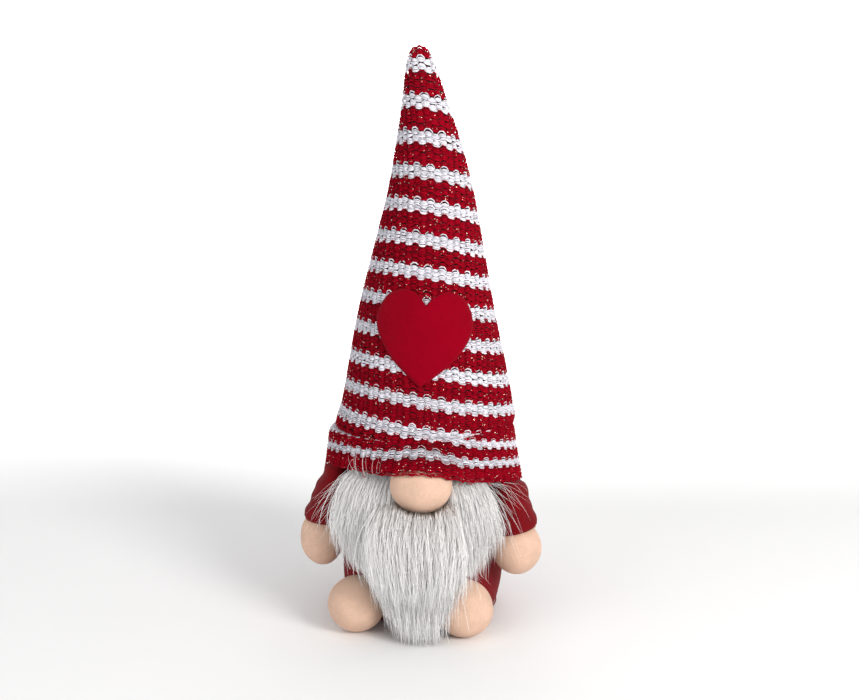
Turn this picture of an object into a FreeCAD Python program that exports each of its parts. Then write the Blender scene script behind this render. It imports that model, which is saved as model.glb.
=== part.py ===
"""A stuffed tomte gnome, sitting on a weighted base, as an assembly of its sewn and stuffed pieces.

Millimetres. The figure faces -Y, +Z is up, and the origin is the centre of the base panel's underside.
Left and right are the figure's own, so its left arm is on the +X side.
"""

import FreeCAD, Part
import Sketcher
from FreeCAD import Placement, Rotation, Vector

import math
import os

OUT = "parts"

# Every driving dimension: alias, millimetres or degrees, and what it is.
DIMENSIONS = [
    ("cloth", 1.4, "thickness of the red fleece"),
    ("skin", 1.2, "thickness of the flesh-coloured brushed cloth"),
    ("knit", 2.4, "thickness of the striped knit"),
    ("play", 0.3, "gap left between nested curved pieces"),
    ("thread_radius", 0.35, "radius of the sewing thread"),
    # Body
    ("base_radius", 40.0, "radius of the base panel"),
    ("card_radius", 37.5, "radius of the stiff card on the base panel"),
    ("card_thick", 1.6, "thickness of the card"),
    ("neck_radius", 38.0, "outside radius of the body above the belly"),
    ("neck_low", 64.0, "height where the belly meets the neck"),
    ("neck_high", 80.0, "height where the neck meets the crown of the head"),
    ("belly_bow", 128.0, "radius of the belly's bulging side"),
    ("dome_edge", 32.0, "radius where the head's dome starts"),
    ("dome_low", 90.56, "height where the head's dome starts"),
    ("dome_top", 98.3, "height of the top of the head"),
    ("brow_bow", 12.0, "radius of the curve between neck and dome"),
    # Weight
    ("bag_radius", 35.0, "radius of the pellet pouch"),
    ("bag_half_height", 10.0, "half the height of the pellet pouch"),
    # Hat
    ("fold_height", 99.0, "height of the fold at the brow, where the hat's crown leans"),
    ("crown_low", 100.5, "height of the crown's lower edge"),
    ("crown_radius", 48.0, "outside radius of the crown's lower edge"),
    ("crown_bow", 3100.0, "radius of the crown's slightly bowed side"),
    ("tip_radius", 6.9, "outside radius where the tip's cap starts"),
    ("tip_low", 295.5, "height where the tip's cap starts"),
    ("tip_top", 301.0, "height of the tip"),
    ("lining", 0.8, "thickness of the stiff lining"),
    ("band_low", 74.0, "height of the brim at the sides and back"),
    ("band_low_radius", 52.8, "outside radius of the brim"),
    ("band_high_radius", 50.9, "outside radius of the band at the fold"),
    ("brim_bow", 95.0, "radius of the arch in the brim over the nose"),
    ("brim_front", 87.0, "height of the brim over the nose"),
    ("wadding_low", 77.0, "height of the underside of the brim's wadding"),
    ("wadding_deep", 10.0, "depth of the brim's wadding"),
    ("wadding_radius", 49.0, "outside radius of the brim's wadding"),
    # Heart
    ("heart_thick", 1.5, "thickness of the felt heart"),
    ("heart_half_width", 24.5, "half the width of the heart"),
    ("heart_middle", 151.0, "height of the heart's widest line"),
    ("heart_point", 25.5, "from the widest line down to the point"),
    ("heart_lobe", 22.0, "from the widest line up to the top of a lobe"),
    ("heart_notch", 16.5, "from the widest line up to the notch"),
    ("heart_turn", 5.5, "degrees that the heart is turned, point to the figure's right"),
    # Nose
    ("nose_half_width", 15.5, "half the width of the nose"),
    ("nose_half_depth", 13.5, "half the depth of the nose"),
    ("nose_half_height", 14.5, "half the height of the nose"),
    ("nose_forward", 54.5, "from the axis forward to the nose's middle"),
    ("nose_height", 79.0, "height of the nose's middle"),
    ("nose_gather", 4.0, "radius of the gathered hole at the back of the nose"),
    # Beard
    ("backing", 1.5, "thickness of the beard's knitted backing"),
    ("backing_low", 30.0, "height of the backing's lower edge"),
    ("backing_high", 86.0, "height of the backing's upper edge"),
    ("backing_sweep", 84.0, "degrees that the backing goes round the body"),
    # Arms
    ("sleeve_top", 69.6, "height of the sleeve's upper end, which is sewn flat"),
    ("tab_low", 70.4, "height of the lower edge of the sewn-in tab"),
    ("tab_high", 83.0, "height of the upper edge of the sewn-in tab"),
    ("tab_half_width", 9.5, "half the width of the tab, front to back"),
    ("tab_half_thick", 1.2, "half the thickness of the tab"),
    ("tab_out", 43.0, "from the axis out to the tab's middle"),
    ("arm_forward", 11.5, "from the axis forward to the middle of the sleeve's top"),
    # Feet
    ("foot_radius", 14.3, "radius of a foot"),
    ("foot_reach", 58.1, "from the axis out to a foot's middle"),
    ("foot_gather", 5.9, "radius of the gathering thread behind a foot"),
]

# Each arm: the middles of the sleeve's top (x, y), its elbow and the hand (x, y, z), the height and radius of
# the cuff, which is straight above the hand, and half the hand's size.
ARMS = {
    "left": {
        "top": (45.0, -11.5), "elbow": (46.8, -19.0, 58.0), "hand": (49.6, -30.0, 39.5),
        "cuff_height": 47.5, "cuff_radius": 11.0, "hand_half": (13.0, 11.4, 14.2),
    },
    "right": {
        "top": (-45.0, -11.5), "elbow": (-49.2, -13.8, 59.0), "hand": (-52.8, -17.0, 42.8),
        "cuff_height": 49.8, "cuff_radius": 11.4, "hand_half": (12.0, 12.0, 16.8),
    },
}
SLEEVE_TOP_HALF = (3.6, 11.0)
ELBOW_HALF = (9.6, 12.2)

# Each foot: how far round from straight ahead it is sewn on, in degrees, towards the figure's left.
FEET = {"left": 22.3, "right": -36.0}
FOOT_LIFT = 15.0  # degrees that a foot bends up

# The beard's sections, from the brim to the floor: height, middle x and y, half width and half depth.
BEARD = [
    (77.0, 0.0, -42.0, 31.0, 15.0),
    (60.0, 0.0, -44.0, 33.5, 19.0),
    (45.0, -1.0, -46.5, 31.5, 20.5),
    (34.0, -3.0, -50.0, 25.0, 18.5),
    (18.0, -6.5, -55.5, 12.0, 13.5),
    (0.4, 0.0, -64.0, 9.5, 10.5),
]


CAP = "cap"


class Size:
    """A length that knows both its value and the sheet expression that gives it."""

    def __init__(self, value, text):
        self.value, self.text = value, text

    def __add__(self, other):
        other = as_size(other)
        return Size(self.value + other.value, f"({self.text} + {other.text})")

    def __sub__(self, other):
        other = as_size(other)
        return Size(self.value - other.value, f"({self.text} - {other.text})")

    def __radd__(self, other):
        return as_size(other) + self

    def __neg__(self):
        return Size(-self.value, f"(0 - {self.text})")


def as_size(number):
    return number if isinstance(number, Size) else Size(float(number), f"({number})")


class Sizes:
    """The spreadsheet of driving dimensions, and each of them as a Size by its alias."""

    def __init__(self, doc):
        self.sheet = doc.addObject("Spreadsheet::Sheet", "Sizes")
        for row, (alias, value, meaning) in enumerate(DIMENSIONS, start=1):
            self.sheet.set(f"A{row}", meaning)
            self.sheet.set(f"B{row}", str(value))
            self.sheet.setAlias(f"B{row}", alias)
            setattr(self, alias, Size(value, f"Sizes.{alias}"))
        doc.recompute()


def bind(obj, **sizes):
    """Sets properties to sizes, bound to the sheet."""
    for name, size in sizes.items():
        size = as_size(size)
        setattr(obj, name, size.value)
        obj.setExpression(name, size.text)
    return obj


def put(obj, x=0, y=0, z=0):
    """Places an object, bound to the sheet."""
    for axis, size in zip("xyz", (x, y, z)):
        size = as_size(size)
        setattr(obj.Placement.Base, axis, size.value)
        obj.setExpression(f"Placement.Base.{axis}", size.text)
    return obj


def primitive(kind, name, **sizes):
    return bind(DOC.addObject(f"Part::{kind}", name), **sizes)


def cut(name, base, tool):
    made = DOC.addObject("Part::Cut", name)
    made.Base, made.Tool = base, tool
    return made


def fuse(name, *shapes):
    made = DOC.addObject("Part::MultiFuse", name)
    made.Shapes = list(shapes)
    return made


def common(name, *shapes):
    made = DOC.addObject("Part::MultiCommon", name)
    made.Shapes = list(shapes)
    return made


def ellipsoid(name, middle, half):
    """An ellipsoid from its middle and its half sizes along x, y and z."""
    made = primitive("Ellipsoid", name, Radius1=half[2], Radius2=half[0], Radius3=half[1])
    return put(made, *middle)


def plane_of(body, role):
    return next(f for f in body.Origin.OriginFeatures if f.Role == role)


def outline(sketch, corners):
    """A closed outline through corners (across, up, bow). A bow of None is a straight side to the next corner,
    CAP an arc to or from a pole on the axis with its centre on the axis, and a radius an arc that bulges to
    the right of the way along it where it is positive, and to the left where it is negative."""
    across = [as_size(c[0]) for c in corners]
    up = [as_size(c[1]) for c in corners]
    at = [Vector(a.value, b.value, 0) for a, b in zip(across, up)]
    count = len(corners)
    ends = []
    for i, (_, _, bow) in enumerate(corners):
        start, end = at[i], at[(i + 1) % count]
        if bow is None:
            index = sketch.addGeometry(Part.LineSegment(start, end), False)
            ends.append((index, 1, 2))
            continue
        chord = end - start
        if bow is CAP:
            upwards = end.x < start.x
            rim = abs(chord.x)
            radius = (rim**2 + chord.y**2) / (2 * abs(chord.y))
            centre = Vector(0, max(start.y, end.y) - radius, 0)
            crest = centre + ((start + end) / 2 - centre).normalize() * radius
            ends_of_arc = (start, crest, end) if upwards else (end, crest, start)
            index = sketch.addGeometry(Part.Arc(*ends_of_arc), False)
            ends.append((index, 1, 2) if upwards else (index, 2, 1))
            sketch.addConstraint(Sketcher.Constraint("PointOnObject", index, 3, -2))
            continue
        bow = as_size(bow)
        right = Vector(chord.y, -chord.x, 0).normalize() * (1 if bow.value > 0 else -1)
        radius = abs(bow.value)
        rise = radius - math.sqrt(radius**2 - (chord.Length / 2) ** 2)
        crest = (start + end) / 2 + right * rise
        if bow.value > 0:
            index = sketch.addGeometry(Part.Arc(start, crest, end), False)
            ends.append((index, 1, 2))
        else:
            index = sketch.addGeometry(Part.Arc(end, crest, start), False)
            ends.append((index, 2, 1))
        name = f"bow_{i}"
        constraint = sketch.addConstraint(Sketcher.Constraint("Radius", index, radius))
        sketch.renameConstraint(constraint, name)
        text = bow.text if bow.value > 0 else f"(0 - {bow.text})"
        sketch.setExpression(f"Constraints.{name}", text)
    for i in range(count):
        index, _, last = ends[i]
        following, first, _ = ends[(i + 1) % count]
        sketch.addConstraint(Sketcher.Constraint("Coincident", index, last, following, first))
    for i in range(count):
        index, first, _ = ends[i]
        for kind, size in (("DistanceX", across[i]), ("DistanceY", up[i])):
            if abs(size.value) < 1e-9:
                on_axis = -2 if kind == "DistanceX" else -1
                sketch.addConstraint(Sketcher.Constraint("PointOnObject", index, first, on_axis))
                continue
            value = size.value
            constraint = sketch.addConstraint(
                Sketcher.Constraint(kind, -1, 1, index, first, value)
            )
            name = f"{kind.lower()}_{i}"
            sketch.renameConstraint(constraint, name)
            sketch.setExpression(f"Constraints.{name}", size.text)


def turned(name, corners, sweep=None, start=0.0):
    """A body turned round the Z axis from an outline in the XZ plane."""
    body = DOC.addObject("PartDesign::Body", name)
    sketch = body.newObject("Sketcher::SketchObject", name + "_outline")
    sketch.AttachmentSupport = [(plane_of(body, "XZ_Plane"), "")]
    sketch.MapMode = "FlatFace"
    DOC.recompute()
    outline(sketch, corners)
    DOC.recompute()
    turn = body.newObject("PartDesign::Revolution", name + "_turn")
    turn.Profile = sketch
    turn.ReferenceAxis = (sketch, ["V_Axis"])
    turn.Angle = 360.0
    if sweep is not None:
        turn.Angle = sweep.value
        turn.setExpression("Angle", sweep.text)
    body.Placement = Placement(Vector(0, 0, 0), Rotation(Vector(0, 0, 1), start))
    body.Tip = turn
    DOC.recompute()
    return body


def belly_radius(s, height):
    """Outside radius of the body between the base and the neck, from its bowed side."""
    low = Vector(s.base_radius.value, s.cloth.value, 0)
    high = Vector(s.neck_radius.value, s.neck_low.value, 0)
    chord = high - low
    middle = (low + high) / 2
    inward = Vector(-chord.y, chord.x, 0).normalize()
    drop = math.sqrt(s.belly_bow.value**2 - (chord.Length / 2) ** 2)
    centre = middle + inward * drop
    return centre.x + math.sqrt(s.belly_bow.value**2 - (height - centre.y) ** 2)


# --- Body and base ----------------------------------------------------------------------------------------


def body_side(s, grow):
    """Corners of the body's outside from the base up to the top of the head, grown outwards by grow."""
    return [
        (s.base_radius + grow, s.cloth, s.belly_bow),
        (s.neck_radius + grow, s.neck_low, None),
        (s.neck_radius + grow, s.neck_high, s.brow_bow),
        (s.dome_edge + grow, s.dome_low + grow, CAP),
        (0, s.dome_top + grow, None),
    ]


def wall(outside, inside):
    """A closed outline between two sides that run the same way: up the outside and back down the inside."""
    corners = list(outside)
    back = list(reversed(inside))
    for (across, up, _), (_, _, bow) in zip(back, back[1:] + [(0, 0, None)]):
        straight_or_cap = bow is None or bow is CAP
        corners.append((across, up, bow if straight_or_cap else -bow))
    return corners


def make_base(s):
    panel = primitive("Cylinder", "base_panel", Radius=s.base_radius, Height=s.cloth)
    card = put(primitive("Cylinder", "base_card", Radius=s.card_radius, Height=s.card_thick), z=s.cloth)
    seam = primitive(
        "Torus", "base_seam_thread",
        Radius1=s.base_radius + s.thread_radius + s.play, Radius2=s.thread_radius,
    )
    return [panel, card, put(seam, z=s.cloth)]


def make_body(s):
    cover = turned("body_cover", wall(body_side(s, as_size(0)), body_side(s, -s.cloth)))
    bag_middle = s.cloth + s.card_thick + s.bag_half_height + 0.2
    half = (s.bag_radius, s.bag_radius, s.bag_half_height)
    pouch_hollow = ellipsoid("pouch_hollow", (0, 0, bag_middle), [h - 1 for h in half])
    pouch = cut("weight_bag", ellipsoid("pouch_outside", (0, 0, bag_middle), half), pouch_hollow)
    pellets = ellipsoid("weight_pellets", (0, 0, bag_middle), [h - 1.2 for h in half])
    inside = -(s.cloth + s.play)
    filling = turned("filling", [
        (0, bag_middle, None),
        (s.base_radius + inside + 1.5, bag_middle, s.belly_bow),
        (s.neck_radius + inside, s.neck_low, None),
        (s.neck_radius + inside, s.neck_high, s.brow_bow),
        (s.dome_edge + inside, s.dome_low + inside, CAP),
        (0, s.dome_top + inside, None),
    ])
    room = ellipsoid("room_for_pouch", (0, 0, bag_middle), [h + 0.3 for h in half])
    return [cover, pouch, pellets, cut("body_stuffing", filling, room)]


def make_closing_stitches(s):
    """The ladder stitches that close the body's back, one short thread across the seam every few millimetres."""
    first, pitch, count, length = 18.0, 4.5, 10, 4.0
    stitches = []
    for i in range(count):
        height = first + pitch * i
        out = belly_radius(s, height) + s.thread_radius.value + 0.1
        start = Vector(-length / 2, out, height)
        stitches.append(Part.makeCylinder(s.thread_radius.value, length, start, Vector(1, 0, 0)))
    made = DOC.addObject("Part::Feature", "closing_stitches")
    made.Shape = Part.makeCompound(stitches)
    return [made]


# --- Nose and beard ---------------------------------------------------------------------------------------


def nose_middle(s):
    return (0, -s.nose_forward, s.nose_height)


def nose_half(s, grow):
    return [h + grow for h in (s.nose_half_width, s.nose_half_depth, s.nose_half_height)]


def make_nose(s):
    middle = nose_middle(s)
    shell = cut(
        "nose_shell", ellipsoid("nose_outside", middle, nose_half(s, 0)),
        ellipsoid("nose_hollow", middle, nose_half(s, -s.skin)),
    )
    hole = primitive("Cylinder", "nose_hole", Radius=s.nose_gather, Height=10)
    put(hole, y=-(s.nose_forward - s.nose_half_depth) + 3, z=s.nose_height)
    hole.Placement.Rotation = Rotation(Vector(1, 0, 0), 90)
    cover = cut("nose_cover", shell, hole)
    stuffing = ellipsoid("nose_stuffing", middle, nose_half(s, -(s.skin + 0.25)))
    thread = primitive("Torus", "nose_thread", Radius1=3, Radius2=s.thread_radius)
    put(thread, y=-(s.nose_forward - s.nose_half_depth) + 0.55, z=s.nose_height)
    thread.Placement.Rotation = Rotation(Vector(1, 0, 0), 90)
    return [cover, stuffing, thread]


def backing_side(s, grow):
    """The backing's side, which follows the belly from its own lower edge up."""
    low_radius = belly_radius(s, s.backing_low.value)
    return [
        (as_size(round(low_radius, 2)) + grow, s.backing_low, s.belly_bow),
        (s.neck_radius + grow, s.neck_low, None),
        (s.neck_radius + grow, s.backing_high, None),
    ]


def make_backing(s):
    inner, outer = as_size(0.5), s.backing + 0.5
    half_turn = s.backing_sweep.value / 2
    return [turned(
        "beard_backing", wall(backing_side(s, outer), backing_side(s, inner)),
        sweep=s.backing_sweep, start=-90 - half_turn,
    )]


def section(name, middle, height, half):
    """An ellipse lying flat, its longer half along Y or X as half says."""
    across, deep = half
    made = DOC.addObject("Part::Ellipse", name)
    made.MajorRadius, made.MinorRadius = max(half), min(half)
    spin = 0 if across >= deep else 90
    made.Placement = Placement(Vector(middle[0], middle[1], height), Rotation(Vector(0, 0, 1), spin))
    return made


def loft(name, sections):
    made = DOC.addObject("Part::Loft", name)
    made.Sections, made.Solid, made.Ruled = sections, True, False
    return made


def foot_middle(s, side, lift=0.0):
    """A foot's middle when it is bent up by lift degrees about the place where it is sewn on."""
    around = math.radians(FEET[side])
    lift = math.radians(lift)
    radius = s.foot_radius.value
    reach = s.foot_reach.value - radius + radius * math.cos(lift)
    height = radius + radius * math.sin(lift)
    return Vector(reach * math.sin(around), -reach * math.cos(around), height)


def make_pile(s):
    """The fur of the beard: one closed form that hangs from the brim, round the nose and between the feet."""
    pile = loft("pile", [
        section(f"pile_{i}", (x, y), z, (wide, deep)) for i, (z, x, y, wide, deep) in enumerate(BEARD)
    ])
    grow = s.backing + 0.8
    room = [turned("room_for_body", [(0, 0, None), (s.base_radius + grow, 0, None)] + body_side(s, grow)[:-1]
                   + [(0, s.dome_top + grow, None)])]
    room.append(ellipsoid("room_for_nose", nose_middle(s), nose_half(s, 1.5)))
    clear = 0.8
    for side in FEET:
        for lift in (0.0, FOOT_LIFT / 2, FOOT_LIFT):
            ball = primitive("Sphere", f"room_for_foot_{side}_{lift:.0f}", Radius=s.foot_radius + clear)
            ball.Placement.Base = foot_middle(s, side, lift)
            room.append(ball)
    return [cut("beard_pile", pile, fuse("room_in_pile", *room))]


# --- Hat --------------------------------------------------------------------------------------------------


def crown_side(s, inset):
    """Corners of the crown's side from its lower edge up to the tip, moved inwards by inset."""
    return [
        (s.crown_radius - inset, s.crown_low, s.crown_bow),
        (s.tip_radius - inset, s.tip_low - inset, CAP),
        (0, s.tip_top - inset, None),
    ]


def make_crown(s):
    """The knitted cone with its stiff lining and its stuffing."""
    lining_out = s.knit + s.play
    lining_in = lining_out + s.lining
    cover = turned("hat_cover", wall(crown_side(s, as_size(0)), crown_side(s, s.knit)))
    lining = turned("hat_lining", wall(crown_side(s, lining_out), crown_side(s, lining_in)))
    fill = crown_side(s, lining_in + s.play)
    stuffing = turned("hat_stuffing", [(0, s.crown_low, None)] + fill)
    return [cover, lining, stuffing]


def crown_skin(s, name, low, high, inner, outer):
    """A thin layer on the outside of the crown between two heights."""
    layer = turned(name + "_layer", wall(crown_side(s, -outer), crown_side(s, -inner)))
    slab = primitive("Box", name + "_slab", Length=120, Width=120, Height=high - low)
    return layer, put(slab, x=-60, y=-60, z=low)


def make_hat_seam(s):
    """The overlocked seam down the back of the crown."""
    half_width, low, high = 1.6, s.crown_low + 3, s.tip_low - 6
    layer, slab = crown_skin(s, "seam", low, high, as_size(0.2), as_size(1.4))
    bind(slab, Length=2 * half_width, Width=60)
    put(slab, x=-half_width, y=0, z=low)
    return [common("hat_seam", layer, slab)]


def heart_wire(s):
    """The heart's outline in the XZ plane: two lobes of arcs and two sides that meet in the point."""
    half, point, lobe, notch = (
        s.heart_half_width.value, s.heart_point.value, s.heart_lobe.value, s.heart_notch.value
    )
    edges = []
    for side in (-1, 1):
        top = Vector(side * half * 0.54, 0, lobe)
        wide = Vector(side * half, 0, half * 0.22)
        cleft = Vector(0, 0, notch)
        foot = Vector(0, 0, -point)
        inner = Part.Arc(cleft, Vector(side * half * 0.22, 0, lobe * 0.965), top)
        outer = Part.Arc(top, Vector(side * half * 0.885, 0, lobe * 0.725), wide)
        flank = Part.Arc(wide, Vector(side * half * 0.66, 0, -point * 0.43), foot)
        edges += [inner.toShape(), outer.toShape(), flank.toShape()]
    return Part.Wire(Part.__sortEdges__(edges))


def make_heart(s):
    layer, slab = crown_skin(
        s, "heart", s.heart_middle - 45, s.heart_middle + 45, as_size(0.3), s.heart_thick + 0.3
    )
    prism = DOC.addObject("Part::Feature", "heart_prism")
    prism.Shape = Part.Face(heart_wire(s)).extrude(Vector(0, -70, 0))
    tilt = Rotation(Vector(0, 1, 0), s.heart_turn.value)
    prism.Placement = Placement(Vector(0, 0, s.heart_middle.value), tilt)
    return [common("heart_patch", layer, slab, prism)]


def band_form(s, name, inset, grow):
    """The band's cone with the bulge where it lies over the nose."""
    tall = s.fold_height - s.band_low
    cone = primitive(
        "Cone", name + "_cone",
        Radius1=s.band_low_radius - inset, Radius2=s.band_high_radius - inset, Height=tall,
    )
    put(cone, z=s.band_low)
    return fuse(name, cone, ellipsoid(name + "_bulge", nose_middle(s), nose_half(s, grow)))


def make_band(s):
    outside = band_form(s, "band_outside", as_size(0), s.knit + s.play)
    inside = band_form(s, "band_inside", s.knit, s.play)
    arch = primitive("Cylinder", "brim_arch", Radius=s.brim_bow, Height=90)
    put(arch, z=s.brim_front - s.brim_bow)
    arch.Placement.Rotation = Rotation(Vector(1, 0, 0), 90)
    return [cut("hat_band", cut("band_wall", outside, inside), arch)]


def make_wadding(s):
    ring = primitive("Cylinder", "wadding_outside", Radius=s.wadding_radius, Height=s.wadding_deep, Angle=180)
    core = primitive("Cylinder", "wadding_core", Radius=s.neck_radius + s.play, Height=s.wadding_deep)
    put(ring, z=s.wadding_low)
    put(core, z=s.wadding_low)
    return [cut("brim_wadding", ring, core)]


# --- Arms and feet ----------------------------------------------------------------------------------------


def sleeve_form(s, name, side, inset, low):
    """The sleeve's tube through its top, elbow and cuff, moved in by inset and ending at the height low."""
    arm = ARMS[side]
    stations = [
        (arm["top"], s.sleeve_top.value - inset, SLEEVE_TOP_HALF),
        (arm["elbow"][:2], arm["elbow"][2], ELBOW_HALF),
        (arm["hand"][:2], low, (arm["cuff_radius"], arm["cuff_radius"])),
    ]
    return loft(name, [
        section(f"{name}_{i}", middle, height, [h - inset for h in half])
        for i, (middle, height, half) in enumerate(stations)
    ])


def make_arm(s, side):
    arm = ARMS[side]
    cuff = (*arm["hand"][:2], arm["cuff_height"])
    skin, gap = s.skin.value, 0.25
    hollow = sleeve_form(s, f"sleeve_hollow_{side}", side, s.cloth.value, cuff[2])
    sleeve = cut(f"sleeve_{side}", sleeve_form(s, f"sleeve_outside_{side}", side, 0.0, cuff[2]), hollow)
    stuffing = sleeve_form(s, f"arm_stuffing_{side}", side, s.cloth.value + 2 * gap, cuff[2] + 0.3)
    above = primitive("Box", f"above_cuff_{side}", Length=60, Width=60, Height=40)
    put(above, x=cuff[0] - 30, y=cuff[1] - 30, z=cuff[2] - 0.2)
    ball = ellipsoid(f"hand_outside_{side}", arm["hand"], arm["hand_half"])
    hole = ellipsoid(f"hand_hollow_{side}", arm["hand"], [h - skin for h in arm["hand_half"]])
    fill = ellipsoid(f"hand_fill_{side}", arm["hand"], [h - skin - gap for h in arm["hand_half"]])
    hand = cut(f"hand_cover_{side}", cut(f"hand_shell_{side}", ball, hole), above)
    hand_stuffing = cut(f"hand_stuffing_{side}", fill, above)
    thread = primitive("Torus", f"cuff_thread_{side}",
                       Radius1=arm["cuff_radius"] + s.thread_radius + s.play, Radius2=s.thread_radius)
    put(thread, *cuff)
    return [sleeve, stuffing, hand, hand_stuffing, thread]


def make_tab(s, side):
    """The sleeve's end sewn in between the body and the brim."""
    sign = 1 if side == "left" else -1
    half = (s.tab_half_thick.value, s.tab_half_width.value)
    middle = (sign * s.tab_out.value, -s.arm_forward.value)
    return [loft(f"shoulder_tab_{side}", [
        section(f"tab_low_{side}", middle, s.tab_low.value, half),
        section(f"tab_high_{side}", middle, s.tab_high.value, [h * 0.9 for h in half]),
    ])]


def make_foot(s, side):
    middle = foot_middle(s, side)
    around = math.radians(FEET[side])
    to_body = Vector(-math.sin(around), math.cos(around), 0)
    outside = primitive("Sphere", f"foot_outside_{side}", Radius=s.foot_radius)
    hollow = primitive("Sphere", f"foot_hollow_{side}", Radius=s.foot_radius - s.skin)
    hole = primitive("Cylinder", f"foot_hole_{side}", Radius=3.5, Height=s.foot_radius)
    stuffing = primitive("Sphere", f"foot_stuffing_{side}", Radius=s.foot_radius - s.skin - 0.25)
    thread = primitive("Torus", f"foot_thread_{side}", Radius1=s.foot_gather, Radius2=s.thread_radius)
    clear = s.foot_radius.value + s.thread_radius.value + 0.05
    behind = math.sqrt(clear**2 - s.foot_gather.value**2)
    turn = Rotation(Vector(0, 0, 1), to_body)
    for obj, place in ((outside, middle), (hollow, middle), (stuffing, middle), (hole, middle + to_body * 6),
                       (thread, middle + to_body * behind)):
        obj.Placement = Placement(place, turn)
    cover = cut(f"foot_cover_{side}", cut(f"foot_shell_{side}", outside, hollow), hole)
    return [cover, stuffing, thread]


# --- The document -----------------------------------------------------------------------------------------


def check(pieces):
    """Stops if any object of the document failed, or any piece's shape is empty or not sound."""
    failed = [o.Name for o in DOC.Objects if "Invalid" in o.State or "Error" in o.State]
    unsound = [p.Name for p in pieces if p.Shape.isNull() or not p.Shape.isValid() or p.Shape.Volume <= 0]
    if failed or unsound:
        raise SystemExit(f"failed: {failed}; not sound: {unsound}")


def main():
    s = Sizes(DOC)
    pieces = make_base(s) + make_body(s) + make_closing_stitches(s)
    pieces += make_nose(s) + make_backing(s) + make_pile(s)
    pieces += make_crown(s) + make_hat_seam(s) + make_heart(s) + make_band(s) + make_wadding(s)
    for side in ("left", "right"):
        pieces += make_tab(s, side) + make_arm(s, side) + make_foot(s, side)
    DOC.recompute()
    check(pieces)
    os.makedirs(OUT, exist_ok=True)
    for piece in pieces:
        piece.Label = piece.Name
        piece.Shape.exportStep(os.path.join(OUT, piece.Label + ".step"))
        box = piece.Shape.BoundBox
        print(f"{piece.Label:24s} solids {len(piece.Shape.Solids)}  volume {piece.Shape.Volume:10.1f}"
              f"  z {box.ZMin:6.1f} to {box.ZMax:6.1f}")


DOC = FreeCAD.newDocument("tomte")
main()
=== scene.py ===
"""The looks of a stuffed tomte gnome: knitted hat, felt heart, velour nose, hands and feet, and a fur beard.

Laid out as a Blender add-on with one operator for each group of pieces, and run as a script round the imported
frame. Lengths inside the functions are in metres; the named sizes of the figure are in millimetres times MM.
"""

import math

import bpy
import numpy as np
from bpy.props import FloatProperty, FloatVectorProperty, IntProperty, PointerProperty
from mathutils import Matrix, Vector


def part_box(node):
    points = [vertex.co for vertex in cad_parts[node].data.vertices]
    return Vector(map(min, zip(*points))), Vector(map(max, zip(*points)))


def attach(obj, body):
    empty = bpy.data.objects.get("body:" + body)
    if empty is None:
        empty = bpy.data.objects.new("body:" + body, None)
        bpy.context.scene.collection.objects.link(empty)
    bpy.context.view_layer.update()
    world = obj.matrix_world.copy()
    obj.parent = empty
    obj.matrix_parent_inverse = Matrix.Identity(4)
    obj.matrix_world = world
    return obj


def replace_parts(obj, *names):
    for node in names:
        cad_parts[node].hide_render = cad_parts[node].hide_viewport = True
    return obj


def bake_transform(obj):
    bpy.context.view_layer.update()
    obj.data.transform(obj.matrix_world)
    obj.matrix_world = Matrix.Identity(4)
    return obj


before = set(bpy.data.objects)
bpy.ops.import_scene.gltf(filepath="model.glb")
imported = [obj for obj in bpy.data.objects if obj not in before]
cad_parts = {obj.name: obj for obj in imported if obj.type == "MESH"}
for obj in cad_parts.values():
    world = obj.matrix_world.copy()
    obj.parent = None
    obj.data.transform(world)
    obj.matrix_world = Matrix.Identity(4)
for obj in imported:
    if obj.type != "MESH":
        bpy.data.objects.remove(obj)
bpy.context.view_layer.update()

bl_info = {
    "name": "Stuffed tomte gnome",
    "version": (1, 0, 0),
    "blender": (4, 5, 0),
    "location": "View3D > Sidebar > Gnome",
    "description": "Makes the knitted, stuffed and furry pieces of a tomte gnome round its packed frame",
    "category": "Object",
}

MM = 0.001
SIDES = ("left", "right")
SEED = 20


def from_bytes(red, green, blue):
    """A colour given by its 0 to 255 screen values, as the linear values that shaders take."""
    screen = np.array([red, green, blue]) / 255
    linear = np.where(screen > 0.04045, ((screen + 0.055) / 1.055) ** 2.4, screen / 12.92)
    return tuple(float(value) for value in linear)


# --- Settings -----------------------------------------------------------------------------------------------


class HatSettings(bpy.types.PropertyGroup):
    """Sizes and colours of the knitted hat."""

    stitch_width: FloatProperty(
        name="Stitch width", description="Width of one column of stitches", default=7.1 * MM, unit="LENGTH"
    )
    course_height: FloatProperty(
        name="Course height", description="Height of one course at the hat's fold", default=3.13 * MM,
        unit="LENGTH",
    )
    tip_stretch: FloatProperty(
        name="Tip stretch", description="How much taller a course is at the hat's tip", default=1.34
    )
    strand: FloatProperty(
        name="Strand radius", description="Radius of one of the yarn's strands", default=0.3 * MM, unit="LENGTH"
    )
    strand_gap: FloatProperty(
        name="Strand gap", description="From one strand's middle to the next", default=0.54 * MM, unit="LENGTH"
    )
    slant: FloatProperty(
        name="Slant", description="How steeply the stripes run down to the figure's left",
        default=math.radians(9.5), subtype="ANGLE",
    )
    white: FloatVectorProperty(
        name="White yarn", description="Colour of the white stripes", subtype="COLOR", size=3,
        default=from_bytes(232, 230, 238), min=0, max=1,
    )
    red: FloatVectorProperty(
        name="Red yarn", description="Colour of the red stripes", subtype="COLOR", size=3,
        default=from_bytes(156, 3, 28), min=0, max=1,
    )
    felt: FloatVectorProperty(
        name="Felt", description="Colour of the heart", subtype="COLOR", size=3,
        default=from_bytes(132, 0, 22), min=0, max=1,
    )


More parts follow.
